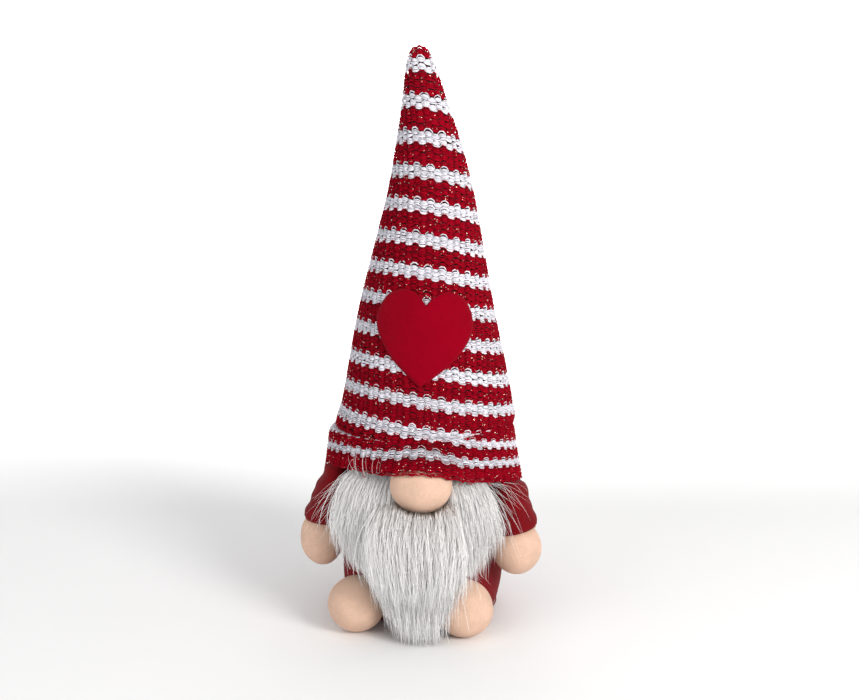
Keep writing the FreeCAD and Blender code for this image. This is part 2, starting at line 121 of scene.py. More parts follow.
class ClothSettings(bpy.types.PropertyGroup):
    """Colours of the sewn cloth and how full it is stuffed."""

    flesh: FloatVectorProperty(
        name="Flesh velour", description="Colour of the nose, hands and feet", subtype="COLOR", size=3,
        default=from_bytes(214, 179, 157), min=0, max=1,
    )
    red: FloatVectorProperty(
        name="Red velour", description="Colour of the body and sleeves", subtype="COLOR", size=3,
        default=from_bytes(114, 5, 15), min=0, max=1,
    )
    pressure: FloatProperty(
        name="Stuffing pressure", description="How hard the filling swells the cloth", default=4.0, min=0
    )
    swell: FloatProperty(
        name="Largest swell", description="The furthest that a point of the cloth moves", default=0.5 * MM,
        unit="LENGTH",
    )


class FurSettings(bpy.types.PropertyGroup):
    """Sizes and colours of the beard."""

    strands: IntProperty(
        name="Strands", description="Strands in each of the beard's pieces", default=5700, min=100
    )
    layers: IntProperty(
        name="Pieces", description="Pieces that the beard's fur is split into", default=5, min=1
    )
    length: FloatProperty(name="Length", description="Length of the pile", default=46 * MM, unit="LENGTH")
    thickness: FloatProperty(
        name="Thickness", description="Radius of a lock of fur at its middle", default=0.13 * MM, unit="LENGTH"
    )
    tip: FloatVectorProperty(
        name="Fur", description="Colour of the pile", subtype="COLOR", size=3,
        default=from_bytes(255, 255, 255), min=0, max=1,
    )
    # painted shade: the colour that the pile fades to at its roots stands in for the shade deep in the fur
    shade: FloatVectorProperty(
        name="Painted root shade", description="Colour of the pile near its roots", subtype="COLOR", size=3,
        default=from_bytes(248, 245, 243), min=0, max=1,
    )


# --- Mesh tools ---------------------------------------------------------------------------------------------


class Assembly:
    """Gathers arrays of points and faces, and makes one mesh object of them."""

    def __init__(self):
        self.points, self.quads, self.triangles = [], [], []
        self.quad_slots, self.triangle_slots, self.fields = [], [], {}
        self.count = 0

    def add(self, points, quads=(), triangles=(), slot=0, **fields):
        """Adds points (n, 3) with faces that count from 0, a material slot, and a value per point by name."""
        quads = np.asarray(quads, np.int32).reshape(-1, 4)
        triangles = np.asarray(triangles, np.int32).reshape(-1, 3)
        self.points.append(np.asarray(points, np.float32).reshape(-1, 3))
        self.quads.append(quads + self.count)
        self.triangles.append(triangles + self.count)
        self.quad_slots.append(np.full(len(quads), slot, np.int32))
        self.triangle_slots.append(np.full(len(triangles), slot, np.int32))
        for name, values in fields.items():
            self.fields.setdefault(name, []).append(np.asarray(values, np.float32).ravel())
        self.count += len(self.points[-1])

    def make(self, name, materials):
        points = np.concatenate(self.points)
        quads, triangles = np.concatenate(self.quads), np.concatenate(self.triangles)
        corners = np.concatenate([quads.ravel(), triangles.ravel()])
        totals = np.concatenate([np.full(len(quads), 4), np.full(len(triangles), 3)]).astype(np.int32)
        mesh = bpy.data.meshes.new(name)
        mesh.vertices.add(len(points))
        mesh.vertices.foreach_set("co", points.ravel())
        mesh.loops.add(len(corners))
        mesh.loops.foreach_set("vertex_index", corners)
        mesh.polygons.add(len(totals))
        mesh.polygons.foreach_set("loop_start", np.concatenate([[0], np.cumsum(totals)[:-1]]).astype(np.int32))
        mesh.polygons.foreach_set("loop_total", totals)
        slots = np.concatenate(self.quad_slots + self.triangle_slots)
        mesh.polygons.foreach_set("material_index", slots)
        mesh.polygons.foreach_set("use_smooth", np.ones(len(totals), bool))
        for field, values in self.fields.items():
            mesh.attributes.new(field, "FLOAT", "POINT").data.foreach_set("value", np.concatenate(values))
        mesh.update(calc_edges=True)
        for made in materials:
            mesh.materials.append(made)
        piece = bpy.data.objects.new(name, mesh)
        bpy.context.scene.collection.objects.link(piece)
        return piece


def unit(vectors):
    """Each vector divided by its length."""
    return vectors / np.maximum(np.linalg.norm(vectors, axis=-1, keepdims=True), 1e-12)


def ring_quads(rows, columns):
    """Quads (n, 4) that join each of a number of rings, of so many points, to the next one."""
    row, column = np.meshgrid(np.arange(rows - 1), np.arange(columns), indexing="ij")
    low, high = row * columns, (row + 1) * columns
    after = (column + 1) % columns
    return np.stack([low + column, low + after, high + after, high + column], -1).reshape(-1, 4)


def add_rings(assembly, rings, **fields):
    """A closed skin over rings (n, m, 3) that each run anticlockwise seen from the far end, with a pole in the
    middle of the first ring and of the last. Neighbouring rings are joined by quads, the poles by fans."""
    rows, columns = rings.shape[:2]
    points = np.concatenate([rings.reshape(-1, 3), rings[0].mean(0)[None], rings[-1].mean(0)[None]])
    quads = ring_quads(rows, columns)
    column = np.arange(columns)
    after = (column + 1) % columns
    first, last = rows * columns, rows * columns + 1
    top = (rows - 1) * columns
    start = np.stack([np.full(columns, first), after, column], -1)
    end = np.stack([np.full(columns, last), top + column, top + after], -1)
    assembly.add(points, quads, np.concatenate([start, end]), **fields)


def add_tubes(assembly, paths, radii, facing, sides=3, slot=0, **fields):
    """Tapered closed tubes along many paths (n, samples, 3) with a radius at each sample. The cross-section is
    a ring of points round the path, set out from facing crossed with the path's direction, and each end is a
    point. Fields are values at each sample."""
    count, samples = paths.shape[:2]
    along = unit(np.gradient(paths, axis=1))
    across = unit(np.cross(along, facing))
    up = np.cross(along, across)
    angle = np.arange(sides) * 2 * math.pi / sides
    ring = (
        np.cos(angle)[:, None] * across[:, 1:-1, None, :] + np.sin(angle)[:, None] * up[:, 1:-1, None, :]
    ) * radii[:, 1:-1, None, None]
    rings = paths[:, 1:-1, None, :] + ring
    middle = (samples - 2) * sides
    stride = middle + 2
    points = np.concatenate([rings.reshape(count, middle, 3), paths[:, :1], paths[:, -1:]], axis=1)
    quads = ring_quads(samples - 2, sides)
    column = np.arange(sides)
    after = (column + 1) % sides
    top = (samples - 3) * sides
    fans = np.concatenate([
        np.stack([np.full(sides, middle), after, column], -1),
        np.stack([np.full(sides, middle + 1), top + column, top + after], -1),
    ])
    shift = (np.arange(count) * stride)[:, None, None]
    values = {}
    for name, value in fields.items():
        value = np.broadcast_to(value, (count, samples))
        around = np.repeat(value[:, 1:-1], sides, axis=1)
        values[name] = np.concatenate([around, value[:, :1], value[:, -1:]], axis=1)
    quads, fans = (quads + shift).reshape(-1, 4), (fans + shift).reshape(-1, 3)
    assembly.add(points.reshape(-1, 3), quads, fans, slot, **values)


def smooth_line(points, samples=400):
    """A curve through points by Catmull-Rom: each stretch is a cubic whose end directions are set by the
    neighbouring points. Returned evenly spaced along its length, with that length."""
    points = np.asarray(points, float)
    padded = np.concatenate([[2 * points[0] - points[1]], points, [2 * points[-1] - points[-2]]])
    at = np.linspace(0, len(points) - 1, samples * 4)
    piece = np.minimum(at.astype(int), len(points) - 2)
    f = (at - piece)[:, None]
    a, b, c, d = (padded[piece + i] for i in range(4))
    line = 0.5 * (2 * b + (c - a) * f + (2 * a - 5 * b + 4 * c - d) * f**2 + (3 * b - a - 3 * c + d) * f**3)
    length = np.concatenate([[0], np.cumsum(np.linalg.norm(np.diff(line, axis=0), axis=1))])
    even = np.linspace(0, length[-1], samples)
    return np.stack([np.interp(even, length, line[:, i]) for i in range(line.shape[1])], -1), length[-1]


def ease(low, high, values):
    """0 up to low, 1 from high on, and a smooth cubic between."""
    t = np.clip((values - low) / (high - low), 0, 1)
    return t * t * (3 - 2 * t)


def bell(values, width):
    """1 at zero, falling as a Gauss curve whose width is given."""
    return np.exp(-((values / width) ** 2))


# --- Material tools -----------------------------------------------------------------------------------------


class Nodes:
    """Short calls for adding and linking shader nodes."""

    def __init__(self, tree):
        self.tree = tree

    def add(self, kind, values=None, **settings):
        node = self.tree.nodes.new(kind)
        for name, value in settings.items():
            setattr(node, name, value)
        for name, value in (values or {}).items():
            if isinstance(value, bpy.types.NodeSocket):
                self.tree.links.new(value, node.inputs[name])
            else:
                node.inputs[name].default_value = value
        return node

    def math(self, operation, first, second=0.0):
        return self.add("ShaderNodeMath", {0: first, 1: second}, operation=operation).outputs[0]

    def mix(self, factor, first, second):
        node = self.tree.nodes.new("ShaderNodeMix")
        node.data_type = "RGBA"
        for index, value in ((0, factor), (6, first), (7, second)):
            if isinstance(value, bpy.types.NodeSocket):
                self.tree.links.new(value, node.inputs[index])
            else:
                node.inputs[index].default_value = value if index == 0 else (*value[:3], 1)
        return node.outputs[2]


def new_group(name, inputs, outputs):
    """An empty shader node group with named sockets: {name: (socket type, default)} and {name: type}."""
    group = bpy.data.node_groups.new(name, "ShaderNodeTree")
    for label, (kind, default) in inputs.items():
        group.interface.new_socket(label, in_out="INPUT", socket_type=kind).default_value = default
    for label, kind in outputs.items():
        group.interface.new_socket(label, in_out="OUTPUT", socket_type=kind)
    return group, Nodes(group), group.nodes.new("NodeGroupInput"), group.nodes.new("NodeGroupOutput")


def fibre_group():
    """Fine fibres and soft blotches on Object coordinates: a colour varied round Colour, and a height."""
    if "Fibres" in bpy.data.node_groups:
        return bpy.data.node_groups["Fibres"]
    group, nodes, given, result = new_group(
        "Fibres",
        {
            "Colour": ("NodeSocketColor", (0.5, 0.5, 0.5, 1)), "Fibre Scale": ("NodeSocketFloat", 1200.0),
            "Blotch Scale": ("NodeSocketFloat", 70.0), "Fibre Depth": ("NodeSocketFloat", 0.3),
            "Blotch Depth": ("NodeSocketFloat", 0.15),
        },
        {"Colour": "NodeSocketColor", "Height": "NodeSocketFloat"},
    )
    place = nodes.add("ShaderNodeTexCoord").outputs["Object"]
    fine = nodes.add(
        "ShaderNodeTexNoise",
        {"Vector": place, "Scale": given.outputs["Fibre Scale"], "Detail": 3.0, "Roughness": 0.65,
         "Distortion": 1.5},
    ).outputs["Fac"]
    broad = nodes.add(
        "ShaderNodeTexNoise", {"Vector": place, "Scale": given.outputs["Blotch Scale"], "Detail": 3.0}
    ).outputs["Fac"]
    fine_part = nodes.math("MULTIPLY", nodes.math("SUBTRACT", fine, 0.5), given.outputs["Fibre Depth"])
    broad_part = nodes.math("MULTIPLY", nodes.math("SUBTRACT", broad, 0.5), given.outputs["Blotch Depth"])
    shade = nodes.math("ADD", nodes.math("MULTIPLY", nodes.math("ADD", fine_part, broad_part), 2.0), 1.0)
    toned = nodes.add("ShaderNodeVectorMath", {0: given.outputs["Colour"]}, operation="SCALE")
    group.links.new(shade, toned.inputs["Scale"])
    group.links.new(toned.outputs[0], result.inputs["Colour"])
    group.links.new(nodes.math("ADD", fine, nodes.math("MULTIPLY", broad, 0.6)), result.inputs["Height"])
    return group


def sparkle_group():
    """Small bright flecks on Object coordinates, as a mask: the middles of some Voronoi cells."""
    if "Sparkle" in bpy.data.node_groups:
        return bpy.data.node_groups["Sparkle"]
    group, nodes, given, result = new_group(
        "Sparkle",
        {"Scale": ("NodeSocketFloat", 900.0), "Share": ("NodeSocketFloat", 0.12)},
        {"Mask": "NodeSocketFloat"},
    )
    place = nodes.add("ShaderNodeTexCoord").outputs["Object"]
    cells = nodes.add("ShaderNodeTexVoronoi", {"Vector": place, "Scale": given.outputs["Scale"]})
    chosen = nodes.add("ShaderNodeSeparateColor", {0: cells.outputs["Color"]}).outputs[0]
    lit = nodes.math("LESS_THAN", chosen, given.outputs["Share"])
    near = nodes.math("LESS_THAN", cells.outputs["Distance"], 0.33)
    group.links.new(nodes.math("MULTIPLY", lit, near), result.inputs["Mask"])
    return group


def new_material(name, colour, roughness, bump=0.25, bump_size=0.2 * MM, **constants):
    """A material of the Fibres group: returns it, its Principled shader, its node tools and the group node.
    Constants name the shader's own sockets, and group values begin with the group's own input names."""
    made = bpy.data.materials.new(name)
    made.use_nodes = True
    made.diffuse_color = (*colour, 1)
    nodes = Nodes(made.node_tree)
    shader = made.node_tree.nodes["Principled BSDF"]
    shader.inputs["Base Color"].default_value = (*colour, 1)
    shader.inputs["Roughness"].default_value = roughness
    fibres = made.node_tree.nodes.new("ShaderNodeGroup")
    fibres.node_tree = fibre_group()
    fibres.inputs["Colour"].default_value = (*colour, 1)
    for label, value in constants.items():
        label = label.replace("_", " ")
        target = fibres if label in fibres.inputs and label != "Colour" else shader
        target.inputs[label].default_value = value
    made.node_tree.links.new(fibres.outputs["Colour"], shader.inputs["Base Color"])
    relief = nodes.add(
        "ShaderNodeBump", {"Height": fibres.outputs["Height"], "Strength": bump, "Distance": bump_size}
    )
    made.node_tree.links.new(relief.outputs["Normal"], shader.inputs["Normal"])
    return made, shader, nodes, fibres


MADE = {}


def once(name, maker):
    """The material of that name, made the first time that it is asked for."""
    if name not in MADE:
        MADE[name] = maker()
    return MADE[name]


def velour(name, colour):
    """Short-pile cloth: soft, matte and a little mottled, with a sheen where it curves away."""
    return once(name, lambda: new_material(
        name, colour, 0.92, bump=0.6, bump_size=0.4 * MM, Fibre_Scale=1300.0, Fibre_Depth=0.24,
        Blotch_Scale=120.0, Blotch_Depth=0.2, Sheen_Weight=0.06, Sheen_Roughness=0.45, Specular_IOR_Level=0.15,
    )[0])


def flesh_velour():
    return velour("flesh_velour", tuple(bpy.context.scene.gnome_cloth.flesh))


def red_velour():
    return velour("red_velour", tuple(bpy.context.scene.gnome_cloth.red))


def felt():
    """Pressed felt: matted fibres that catch the light a little."""
    return once("crimson_felt", lambda: new_material(
        "crimson_felt", tuple(bpy.context.scene.gnome_hat.felt), 0.95, bump=0.4, bump_size=0.3 * MM,
        Fibre_Scale=900.0, Fibre_Depth=0.2, Blotch_Scale=60.0, Blotch_Depth=0.16, Sheen_Weight=0.03,
        Sheen_Roughness=0.5, Specular_IOR_Level=0.03,
    )[0])


def yarn(name, colour, glint):
    """Brushed yarn whose strands differ a little in tone, with flecks of metallic thread coloured glint."""

    def maker():
        made, shader, nodes, fibres = new_material(
            name, colour, 0.8, bump=0.5, bump_size=0.25 * MM, Fibre_Scale=1900.0, Fibre_Depth=0.22,
            Blotch_Scale=160.0, Blotch_Depth=0.14, Specular_IOR_Level=0.05,
        )
        tone = nodes.add("ShaderNodeAttribute", attribute_name="tone").outputs["Fac"]
        toned = nodes.add("ShaderNodeVectorMath", {0: fibres.outputs["Colour"]}, operation="SCALE")
        strength = nodes.math("ADD", nodes.math("MULTIPLY", tone, 0.34), 0.8)
        made.node_tree.links.new(strength, toned.inputs["Scale"])
        flecks = made.node_tree.nodes.new("ShaderNodeGroup")
        flecks.node_tree = sparkle_group()
        mask = flecks.outputs["Mask"]
        made.node_tree.links.new(nodes.mix(mask, toned.outputs[0], glint), shader.inputs["Base Color"])
        made.node_tree.links.new(nodes.math("MULTIPLY", mask, 0.9), shader.inputs["Metallic"])
        rough = nodes.math("SUBTRACT", 0.8, nodes.math("MULTIPLY", mask, 0.55))
        made.node_tree.links.new(rough, shader.inputs["Roughness"])
        return made

    return once(name, maker)


def white_yarn():
    return yarn("white_yarn", tuple(bpy.context.scene.gnome_hat.white), from_bytes(250, 250, 252))


def red_yarn():
    return yarn("red_yarn", tuple(bpy.context.scene.gnome_hat.red), from_bytes(255, 222, 200))


def fur():
    """Fur drawn darker and browner at its roots as painted shade deep in the pile, with a tone that differs at
    random from lock to lock.
    """

    def maker():
        settings = bpy.context.scene.gnome_fur
        made, shader, nodes, fibres = new_material(
            "grey_white_fur", tuple(settings.tip), 0.5, bump=0.1, Fibre_Scale=700.0, Fibre_Depth=0.05,
            Blotch_Scale=60.0, Blotch_Depth=0.05, Sheen_Weight=0.15, Specular_IOR_Level=0.4,
        )
        along = nodes.add("ShaderNodeAttribute", attribute_name="along").outputs["Fac"]
        tone = nodes.add("ShaderNodeAttribute", attribute_name="tone").outputs["Fac"]
        # painted shade: each hair runs from the painted root shade at its root to the pile's colour at its tip
        shaded = nodes.mix(along, tuple(settings.shade), fibres.outputs["Colour"])
        toned = nodes.add("ShaderNodeVectorMath", {0: shaded}, operation="SCALE")
        strength = nodes.math("ADD", nodes.math("MULTIPLY", tone, 0.1), 0.92)
        made.node_tree.links.new(strength, toned.inputs["Scale"])
        made.node_tree.links.new(toned.outputs[0], shader.inputs["Base Color"])
        return made

    return once("grey_white_fur", maker)


def plain_cloth(name, colour, roughness=0.9, **constants):
    """A fine matt finish for threads, wadding, card and the other small or inner pieces."""
    return once(name, lambda: new_material(name, colour, roughness, **constants)[0])


# painted shade: a real lining behind the knit, coloured far darker than the yarn to stand for the shade in the
# gaps between the stitches and in the fold
def lining_with_painted_shade():
    return plain_cloth("red_lining_painted_shade", from_bytes(70, 4, 14), Fibre_Scale=800.0, Fibre_Depth=0.3)


def red_thread():
    return plain_cloth("red_thread", from_bytes(128, 5, 22), 0.7, Fibre_Scale=2500.0)


def flesh_thread():
    return plain_cloth("flesh_thread", from_bytes(205, 165, 140), 0.7, Fibre_Scale=2500.0)


def wadding():
    return plain_cloth("white_wadding", from_bytes(236, 235, 230), 0.95, Fibre_Scale=500.0, Fibre_Depth=0.3)


# --- The hat's form -----------------------------------------------------------------------------------------

# The crown's side as radius and height, from the inside of the fold out over its rolled edge and up to the tip.
CROWN_SIDE = np.array([
    (41.0, 102.5), (44.6, 99.6), (47.6, 101.2), (47.4, 106.0), (45.6, 112.5), (43.8, 121.5), (38.9, 147.0),
    (33.5, 173.0), (27.9, 198.6), (22.3, 224.0), (16.9, 249.0), (12.1, 268.0), (8.6, 284.0), (6.4, 292.5),
    (3.6, 297.6), (0.0, 299.4),
]) * MM
# How far the hat's middle line leans to the figure's left at some heights.
LEAN = np.array([
    (96.0, 0.6), (112.0, 2.9), (160.0, 2.6), (195.0, 3.8), (224.0, 4.8), (250.0, 3.8), (275.0, 1.3),
    (300.0, -1.4),
]) * MM
BRIM_HEIGHT = 75.5 * MM
CREASE_HEIGHT = 99.5 * MM
FOLD_DEPTH = 5.0 * MM
GROUND = -1.25 * MM  # the lining lies this far under the middle of the yarn
LINING = 0.6 * MM

CROWN_LINE, CROWN_LENGTH = smooth_line(CROWN_SIDE, 900)
LEAN_LINE = smooth_line(LEAN, 200)[0]


def lean(height):
    """How far the hat's middle line is to the figure's left at a height."""
    return np.interp(height, LEAN_LINE[:, 0], LEAN_LINE[:, 1])


def crease_height(angle):
    """Height of the fold: it rises towards the figure's left, most between its front and its side."""
    turned = np.arctan2(np.sin(angle), np.cos(angle))
    return CREASE_HEIGHT + (0.8 * np.sin(angle) + 2.9 * bell(turned - 0.8, 0.5)) * MM


def crown_point(angle, along, out=0.0):
    """A point of the crown at an angle round from the front towards the figure's left, a length up its side
    from inside the fold, and a distance out from the middle of the yarn: the side's line turned round the
    axis, bulging over the fold in front, and shifted sideways by the lean."""
    place = np.clip(along / CROWN_LENGTH, 0, 1) * (len(CROWN_LINE) - 1)
    index = np.arange(len(CROWN_LINE))
    radius = np.interp(place, index, CROWN_LINE[:, 0])
    height = np.interp(place, index, CROWN_LINE[:, 1])
    slope = np.gradient(CROWN_LINE, axis=0)
    outward = unit(np.stack([slope[:, 1], -slope[:, 0]], -1))
    radius = radius + out * np.interp(place, index, outward[:, 0])
    height = height + out * np.interp(place, index, outward[:, 1])
    low = 1 - ease(103 * MM, 122 * MM, height)
    front = np.clip(np.cos(angle), 0, 1) ** 2
    radius = radius + 1.4 * MM * front * bell(height - 104 * MM, 9 * MM)
    radius = radius + 0.35 * MM * np.sin(3 * angle + 1.0) * ease(105 * MM, 150 * MM, height)
    lifted = crease_height(angle) - CREASE_HEIGHT
    radius = radius - 0.45 * low * np.maximum(lifted, 0)
    height = height + low * (0.3 * lifted - 0.8 * MM * front)
    radius = np.maximum(radius, 0)
    return np.stack([radius * np.sin(angle) + lean(height), -radius * np.cos(angle), height], -1)


def brim_height(angle):
    """Height of the brim: it slopes down to the figure's left and back, and arches over the nose."""
    turned = np.arctan2(np.sin(angle), np.cos(angle))
    return BRIM_HEIGHT + (-4.7 * np.sin(angle) + 6.7 * np.cos(angle) + 5.6 * bell(turned - 0.02, 0.30)) * MM


def band_height(angle):
    """Length of the band from its brim to the fold."""
    return crease_height(angle) - brim_height(angle)


def band_point(angle, along, out=0.0):
    """A point of the band at an angle, a length up from the brim, and a distance out. It goes straight up with
    a slight taper, bulges over the nose, and past the fold's height turns in towards the axis."""
    tall = band_height(angle)
    beyond = np.maximum(along - tall + 1.2 * MM, 0)
    rise = np.where(along > tall - 1.2 * MM, tall - 1.2 * MM + 1.2 * MM * np.tanh(beyond / (1.2 * MM)), along)
    height = brim_height(angle) + rise
    radius = 51.9 * MM - 0.14 * (height - 80 * MM) - np.maximum(along - tall, 0) * 1.0
    radius = radius - 1.0 * MM * ease(-2.5 * MM, 0.0, along - tall)
    turned = np.arctan2(np.sin(angle), np.cos(angle))
    over_nose = bell(turned * 50 * MM, 18.5 * MM)
    radius = radius + 15.6 * MM * over_nose * np.clip((99.5 * MM - height) / (11.5 * MM), 0, 1.05)
    ripple = 0.5 * MM * np.sin(5 * angle + 0.6) * (1 - ease(0, 14 * MM, along))
    radius = radius + ripple + out
    return np.stack([radius * np.sin(angle), -radius * np.cos(angle), height], -1)


# --- Knitting -----------------------------------------------------------------------------------------------

LOOP_SAMPLES = 10
LOOP_RISE = 0.21  # how far a loop reaches above and below its course's line, in courses
LOOP_LEAN = 0.5 * MM  # how far a loop's legs lean over each other
LOOP_DEPTH = 0.5 * MM  # how far heads stand out and legs lie in
STRANDS = (-2.0, -1.0, 0.0, 1.0, 2.0)
SHORTEST_RUN = 5  # samples: shorter bits of yarn are left out


def course_runs(keep):
    """Start and end of every unbroken stretch of True in keep."""
    edges = np.flatnonzero(np.diff(np.concatenate([[False], keep, [False]]).astype(np.int8)))
    return zip(edges[::2], edges[1::2])


def add_course(assembly, surface, middle, girth, pitch, slot, chance, kept, shift, top_arch, tight=1.0):
    """One course of knitting on a surface. The yarn runs across by one stitch width every turn while it waves
    up and down, leans over itself at twice that rate, and goes out at the heads and in at the legs. Each
    strand lies to one side of that line, partly square to it and partly above it, further at the heads than at
    the legs, and wanders a little. The topmost arches over its heads, so that the next course shows under it.
    Middle is the course's length up the surface, shift moves it by the angle, kept tells from the angle and the
    length where the yarn is made, and tight draws the strands together."""
    settings = bpy.context.scene.gnome_hat
    width = settings.stitch_width
    half = math.pi * girth - 0.4 * MM
    across = np.arange(-half, half, width / LOOP_SAMPLES)
    turn = 2 * math.pi * across / width
    spread = tight * (1 + 0.3 * np.cos(2 * turn))
    stations = np.linspace(turn[0], turn[-1], len(turn) // 8 + 4)
    rise = LOOP_RISE * pitch * (1 + np.interp(turn, stations, chance.normal(0, 0.10, len(stations))))
    u = across + LOOP_LEAN * np.sin(2 * turn)
    v = rise * np.cos(turn) + np.interp(turn, stations, chance.normal(0, 0.14, len(stations))) * MM
    out = LOOP_DEPTH * np.cos(2 * turn)
    du, dv = np.gradient(u), np.gradient(v)
    length = np.hypot(du, dv)
    square_u, square_v = -dv / length, du / length + 0.5
    size = np.hypot(square_u, square_v)
    arch = top_arch * np.clip(np.cos(turn), 0, 1) ** 1.5
    for strand in STRANDS:
        side = (arch if strand == STRANDS[-1] else 0) + strand * settings.strand_gap * spread + np.interp(
            turn, stations, chance.normal(0, 0.12, len(stations))
        ) * MM
        angle = (u + side * square_u / size) / girth
        along = middle + shift(angle) + v + side * square_v / size
        keep = (np.abs(angle) < math.pi) & kept(angle, along)
        height = out + 0.16 * MM * np.sin(turn * 1.5 + 2.1 * strand)
        points = surface(angle, along, height)
        facing = unit(surface(angle, along, height + 0.5 * MM) - points)
        thick = settings.strand * spread * (1 + 0.12 * np.sin(turn * 1.7 + 3 * strand))
        for start, end in course_runs(keep):
            if end - start > SHORTEST_RUN:
                add_tubes(
                    assembly, points[None, start:end], thick[None, start:end], facing[None, start:end],
                    sides=3, slot=slot, tone=np.full((1, end - start), chance.uniform(0, 1)),
                )


def crown_courses():
    """Heights of the crown's courses along its side and their pitch: they start in the fold and grow towards
    the tip. Two white courses follow three red ones."""
    settings = bpy.context.scene.gnome_hat
    place, index, courses = 1.1 * MM, 0, []
    while place < CROWN_LENGTH - 2 * MM:
        pitch = settings.course_height * (1 + (settings.tip_stretch - 1) * (place / CROWN_LENGTH) ** 2)
        courses.append((place, pitch, 0 if (index + 3) % 5 in (1, 2) else 1))
        place += pitch
        index += 1
    return courses


def top_arches(slots):
    """How far each course's topmost strand arches up: a lot at the top of a white stripe, some in a red one."""
    white = {1: 0.8 * MM, 0: 0.15 * MM}
    return [0.6 * MM if slot else white[after] for slot, after in zip(slots, slots[1:] + [1])]


def knit_crown(low, high, name):
    """The knitting of the crown's courses whose middles lie between two lengths up its side. The stripes lie in
    tilted planes: a course drops by its distance to the side times the slant. It also sags a little at both
    sides, and the courses a few stripes above the fold hang lower."""
    chance = np.random.default_rng(SEED + int(low * 1e4))
    assembly = Assembly()
    slant = math.tan(bpy.context.scene.gnome_hat.slant)
    courses = crown_courses()
    for (middle, pitch, slot), arch in zip(courses, top_arches([course[2] for course in courses])):
        if not low <= middle < high:
            continue
        spot = crown_point(np.array([math.pi / 2]), np.array([middle]))[0]
        girth = max(float(spot[0]) - float(lean(spot[2])), 2.2 * MM)
        drop = girth * slant * (0.4 + 0.6 * float(ease(0, 30 * MM, CROWN_LENGTH - middle)))
        sag = (2.9 - 1.6 * middle / CROWN_LENGTH) * MM * float(ease(0, 60 * MM, CROWN_LENGTH - middle))
        lower = 1.6 * MM * float(bell(middle - 34 * MM, 22 * MM))
        add_course(
            assembly, crown_point, middle, girth, pitch, slot, chance,
            kept=lambda angle, along: (along > 0.6 * MM) & (along < CROWN_LENGTH - 0.4 * MM),
            shift=lambda angle: -drop * np.sin(angle) - sag * np.sin(angle) ** 2 - lower, top_arch=arch,
        )
    return assembly.make(name, [white_yarn(), red_yarn()])


# The band's courses up from the brim: height in millimetres, and 0 for white or 1 for red.
BAND_COURSES = [
    (1.1, 1), (3.3, 1), (5.4, 1), (7.9, 0), (9.8, 0), (12.3, 1), (14.9, 1), (17.5, 0), (19.4, 0), (21.9, 1),
    (24.6, 1), (27.3, 1), (30.1, 1), (32.9, 1),
]


def knit_band():
    """The knitting of the band, each course as far above the brim all the way round, into the fold. The higher
    a course is, the less it follows the brim's arch over the nose."""
    chance = np.random.default_rng(SEED + 1)
    assembly = Assembly()
    for (middle, slot), arch in zip(BAND_COURSES, top_arches([slot for _, slot in BAND_COURSES])):
        straight = 1.2 * MM * float(ease(0, 9, middle))
        add_course(
            assembly, band_point, middle * MM, 50.5 * MM, 2.8 * MM, slot, chance,
            kept=lambda angle, along: along < band_height(angle) + FOLD_DEPTH,
            shift=lambda angle: -straight * bell(angle - 0.02, 0.3), top_arch=0.7 * arch,
            tight=0.97 if slot else 0.68,
        )
    return assembly.make("band_knit", [white_yarn(), red_yarn()])


def crown_shell(name, outer, inner, made):
    """A closed skin of the crown between two distances out: down its outer side from the tip and up inside."""
    angle = np.arange(96) * 2 * math.pi / 96
    along = np.linspace(0.5 * MM, CROWN_LENGTH - 1.0 * MM, 150)[:, None]
    outside = crown_point(angle[None, :], along, outer)
    inside = crown_point(angle[None, :], np.minimum(along, CROWN_LENGTH - 1.6 * MM), inner)
    assembly = Assembly()
    add_rings(assembly, np.concatenate([outside[::-1], inside])[:, ::-1])
    return assembly.make(name, [made])


def crown_filling(name, made):
    """The stuffing inside the lining, from a flat underside at the fold up to the tip."""
    angle = np.arange(64) * 2 * math.pi / 64
    along = np.linspace(12 * MM, CROWN_LENGTH - 3.5 * MM, 90)[:, None]
    rings = crown_point(angle[None, :], along, GROUND - LINING - 0.5 * MM)
    assembly = Assembly()
    add_rings(assembly, rings)
    return assembly.make(name, [made])


def band_shell(name, made):
    """The lining of the band: a closed ring from its brim into the fold and back down inside."""
    columns = 160
    angle = np.arange(columns) * 2 * math.pi / columns
    share = np.linspace(0, 1, 26)[:, None]
    along = 1.0 * MM + share * (band_height(angle)[None, :] + FOLD_DEPTH - 1.6 * MM)
    outside = band_point(angle[None, :], along, GROUND)
    inside = band_point(angle[None, :], along, GROUND - LINING)
    rings = np.concatenate([outside, inside[::-1]])
    rows = len(rings)
    row, column = np.meshgrid(np.arange(rows), np.arange(columns), indexing="ij")
    after, above = (column + 1) % columns, (row + 1) % rows
    quads = np.stack(
        [row * columns + column, row * columns + after, above * columns + after, above * columns + column], -1
    )
    assembly = Assembly()
    assembly.add(rings.reshape(-1, 3), quads)
    return assembly.make(name, [made])


def bend_with_hat(piece):
    """Bakes the placement of a piece of the crown's cloth into its mesh; it does not stretch or bend the piece.
    """
    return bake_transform(piece)


# The crown's knitting is split into three pieces at these lengths up its side.
CROWN_PARTS = (
    ("crown_knit_low", 0, 42 * MM), ("crown_knit_middle", 42 * MM, 92 * MM), ("crown_knit_high", 92 * MM, 1.0),
)


class GNOME_OT_hat_knit(bpy.types.Operator):
    """Knits the crown and band of the hat"""

    bl_idname = "gnome.hat_knit"
    bl_label = "Hat knitting"

    def execute(self, context):
        for name, low, high in CROWN_PARTS:
            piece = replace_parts(knit_crown(low, high, name), "hat_cover")
            if low == 0:
                bend_with_hat(piece)
            else:
                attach(piece, "hat_crown")
        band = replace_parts(knit_band(), "hat_band")
        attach(band, "torso")
        return {"FINISHED"}


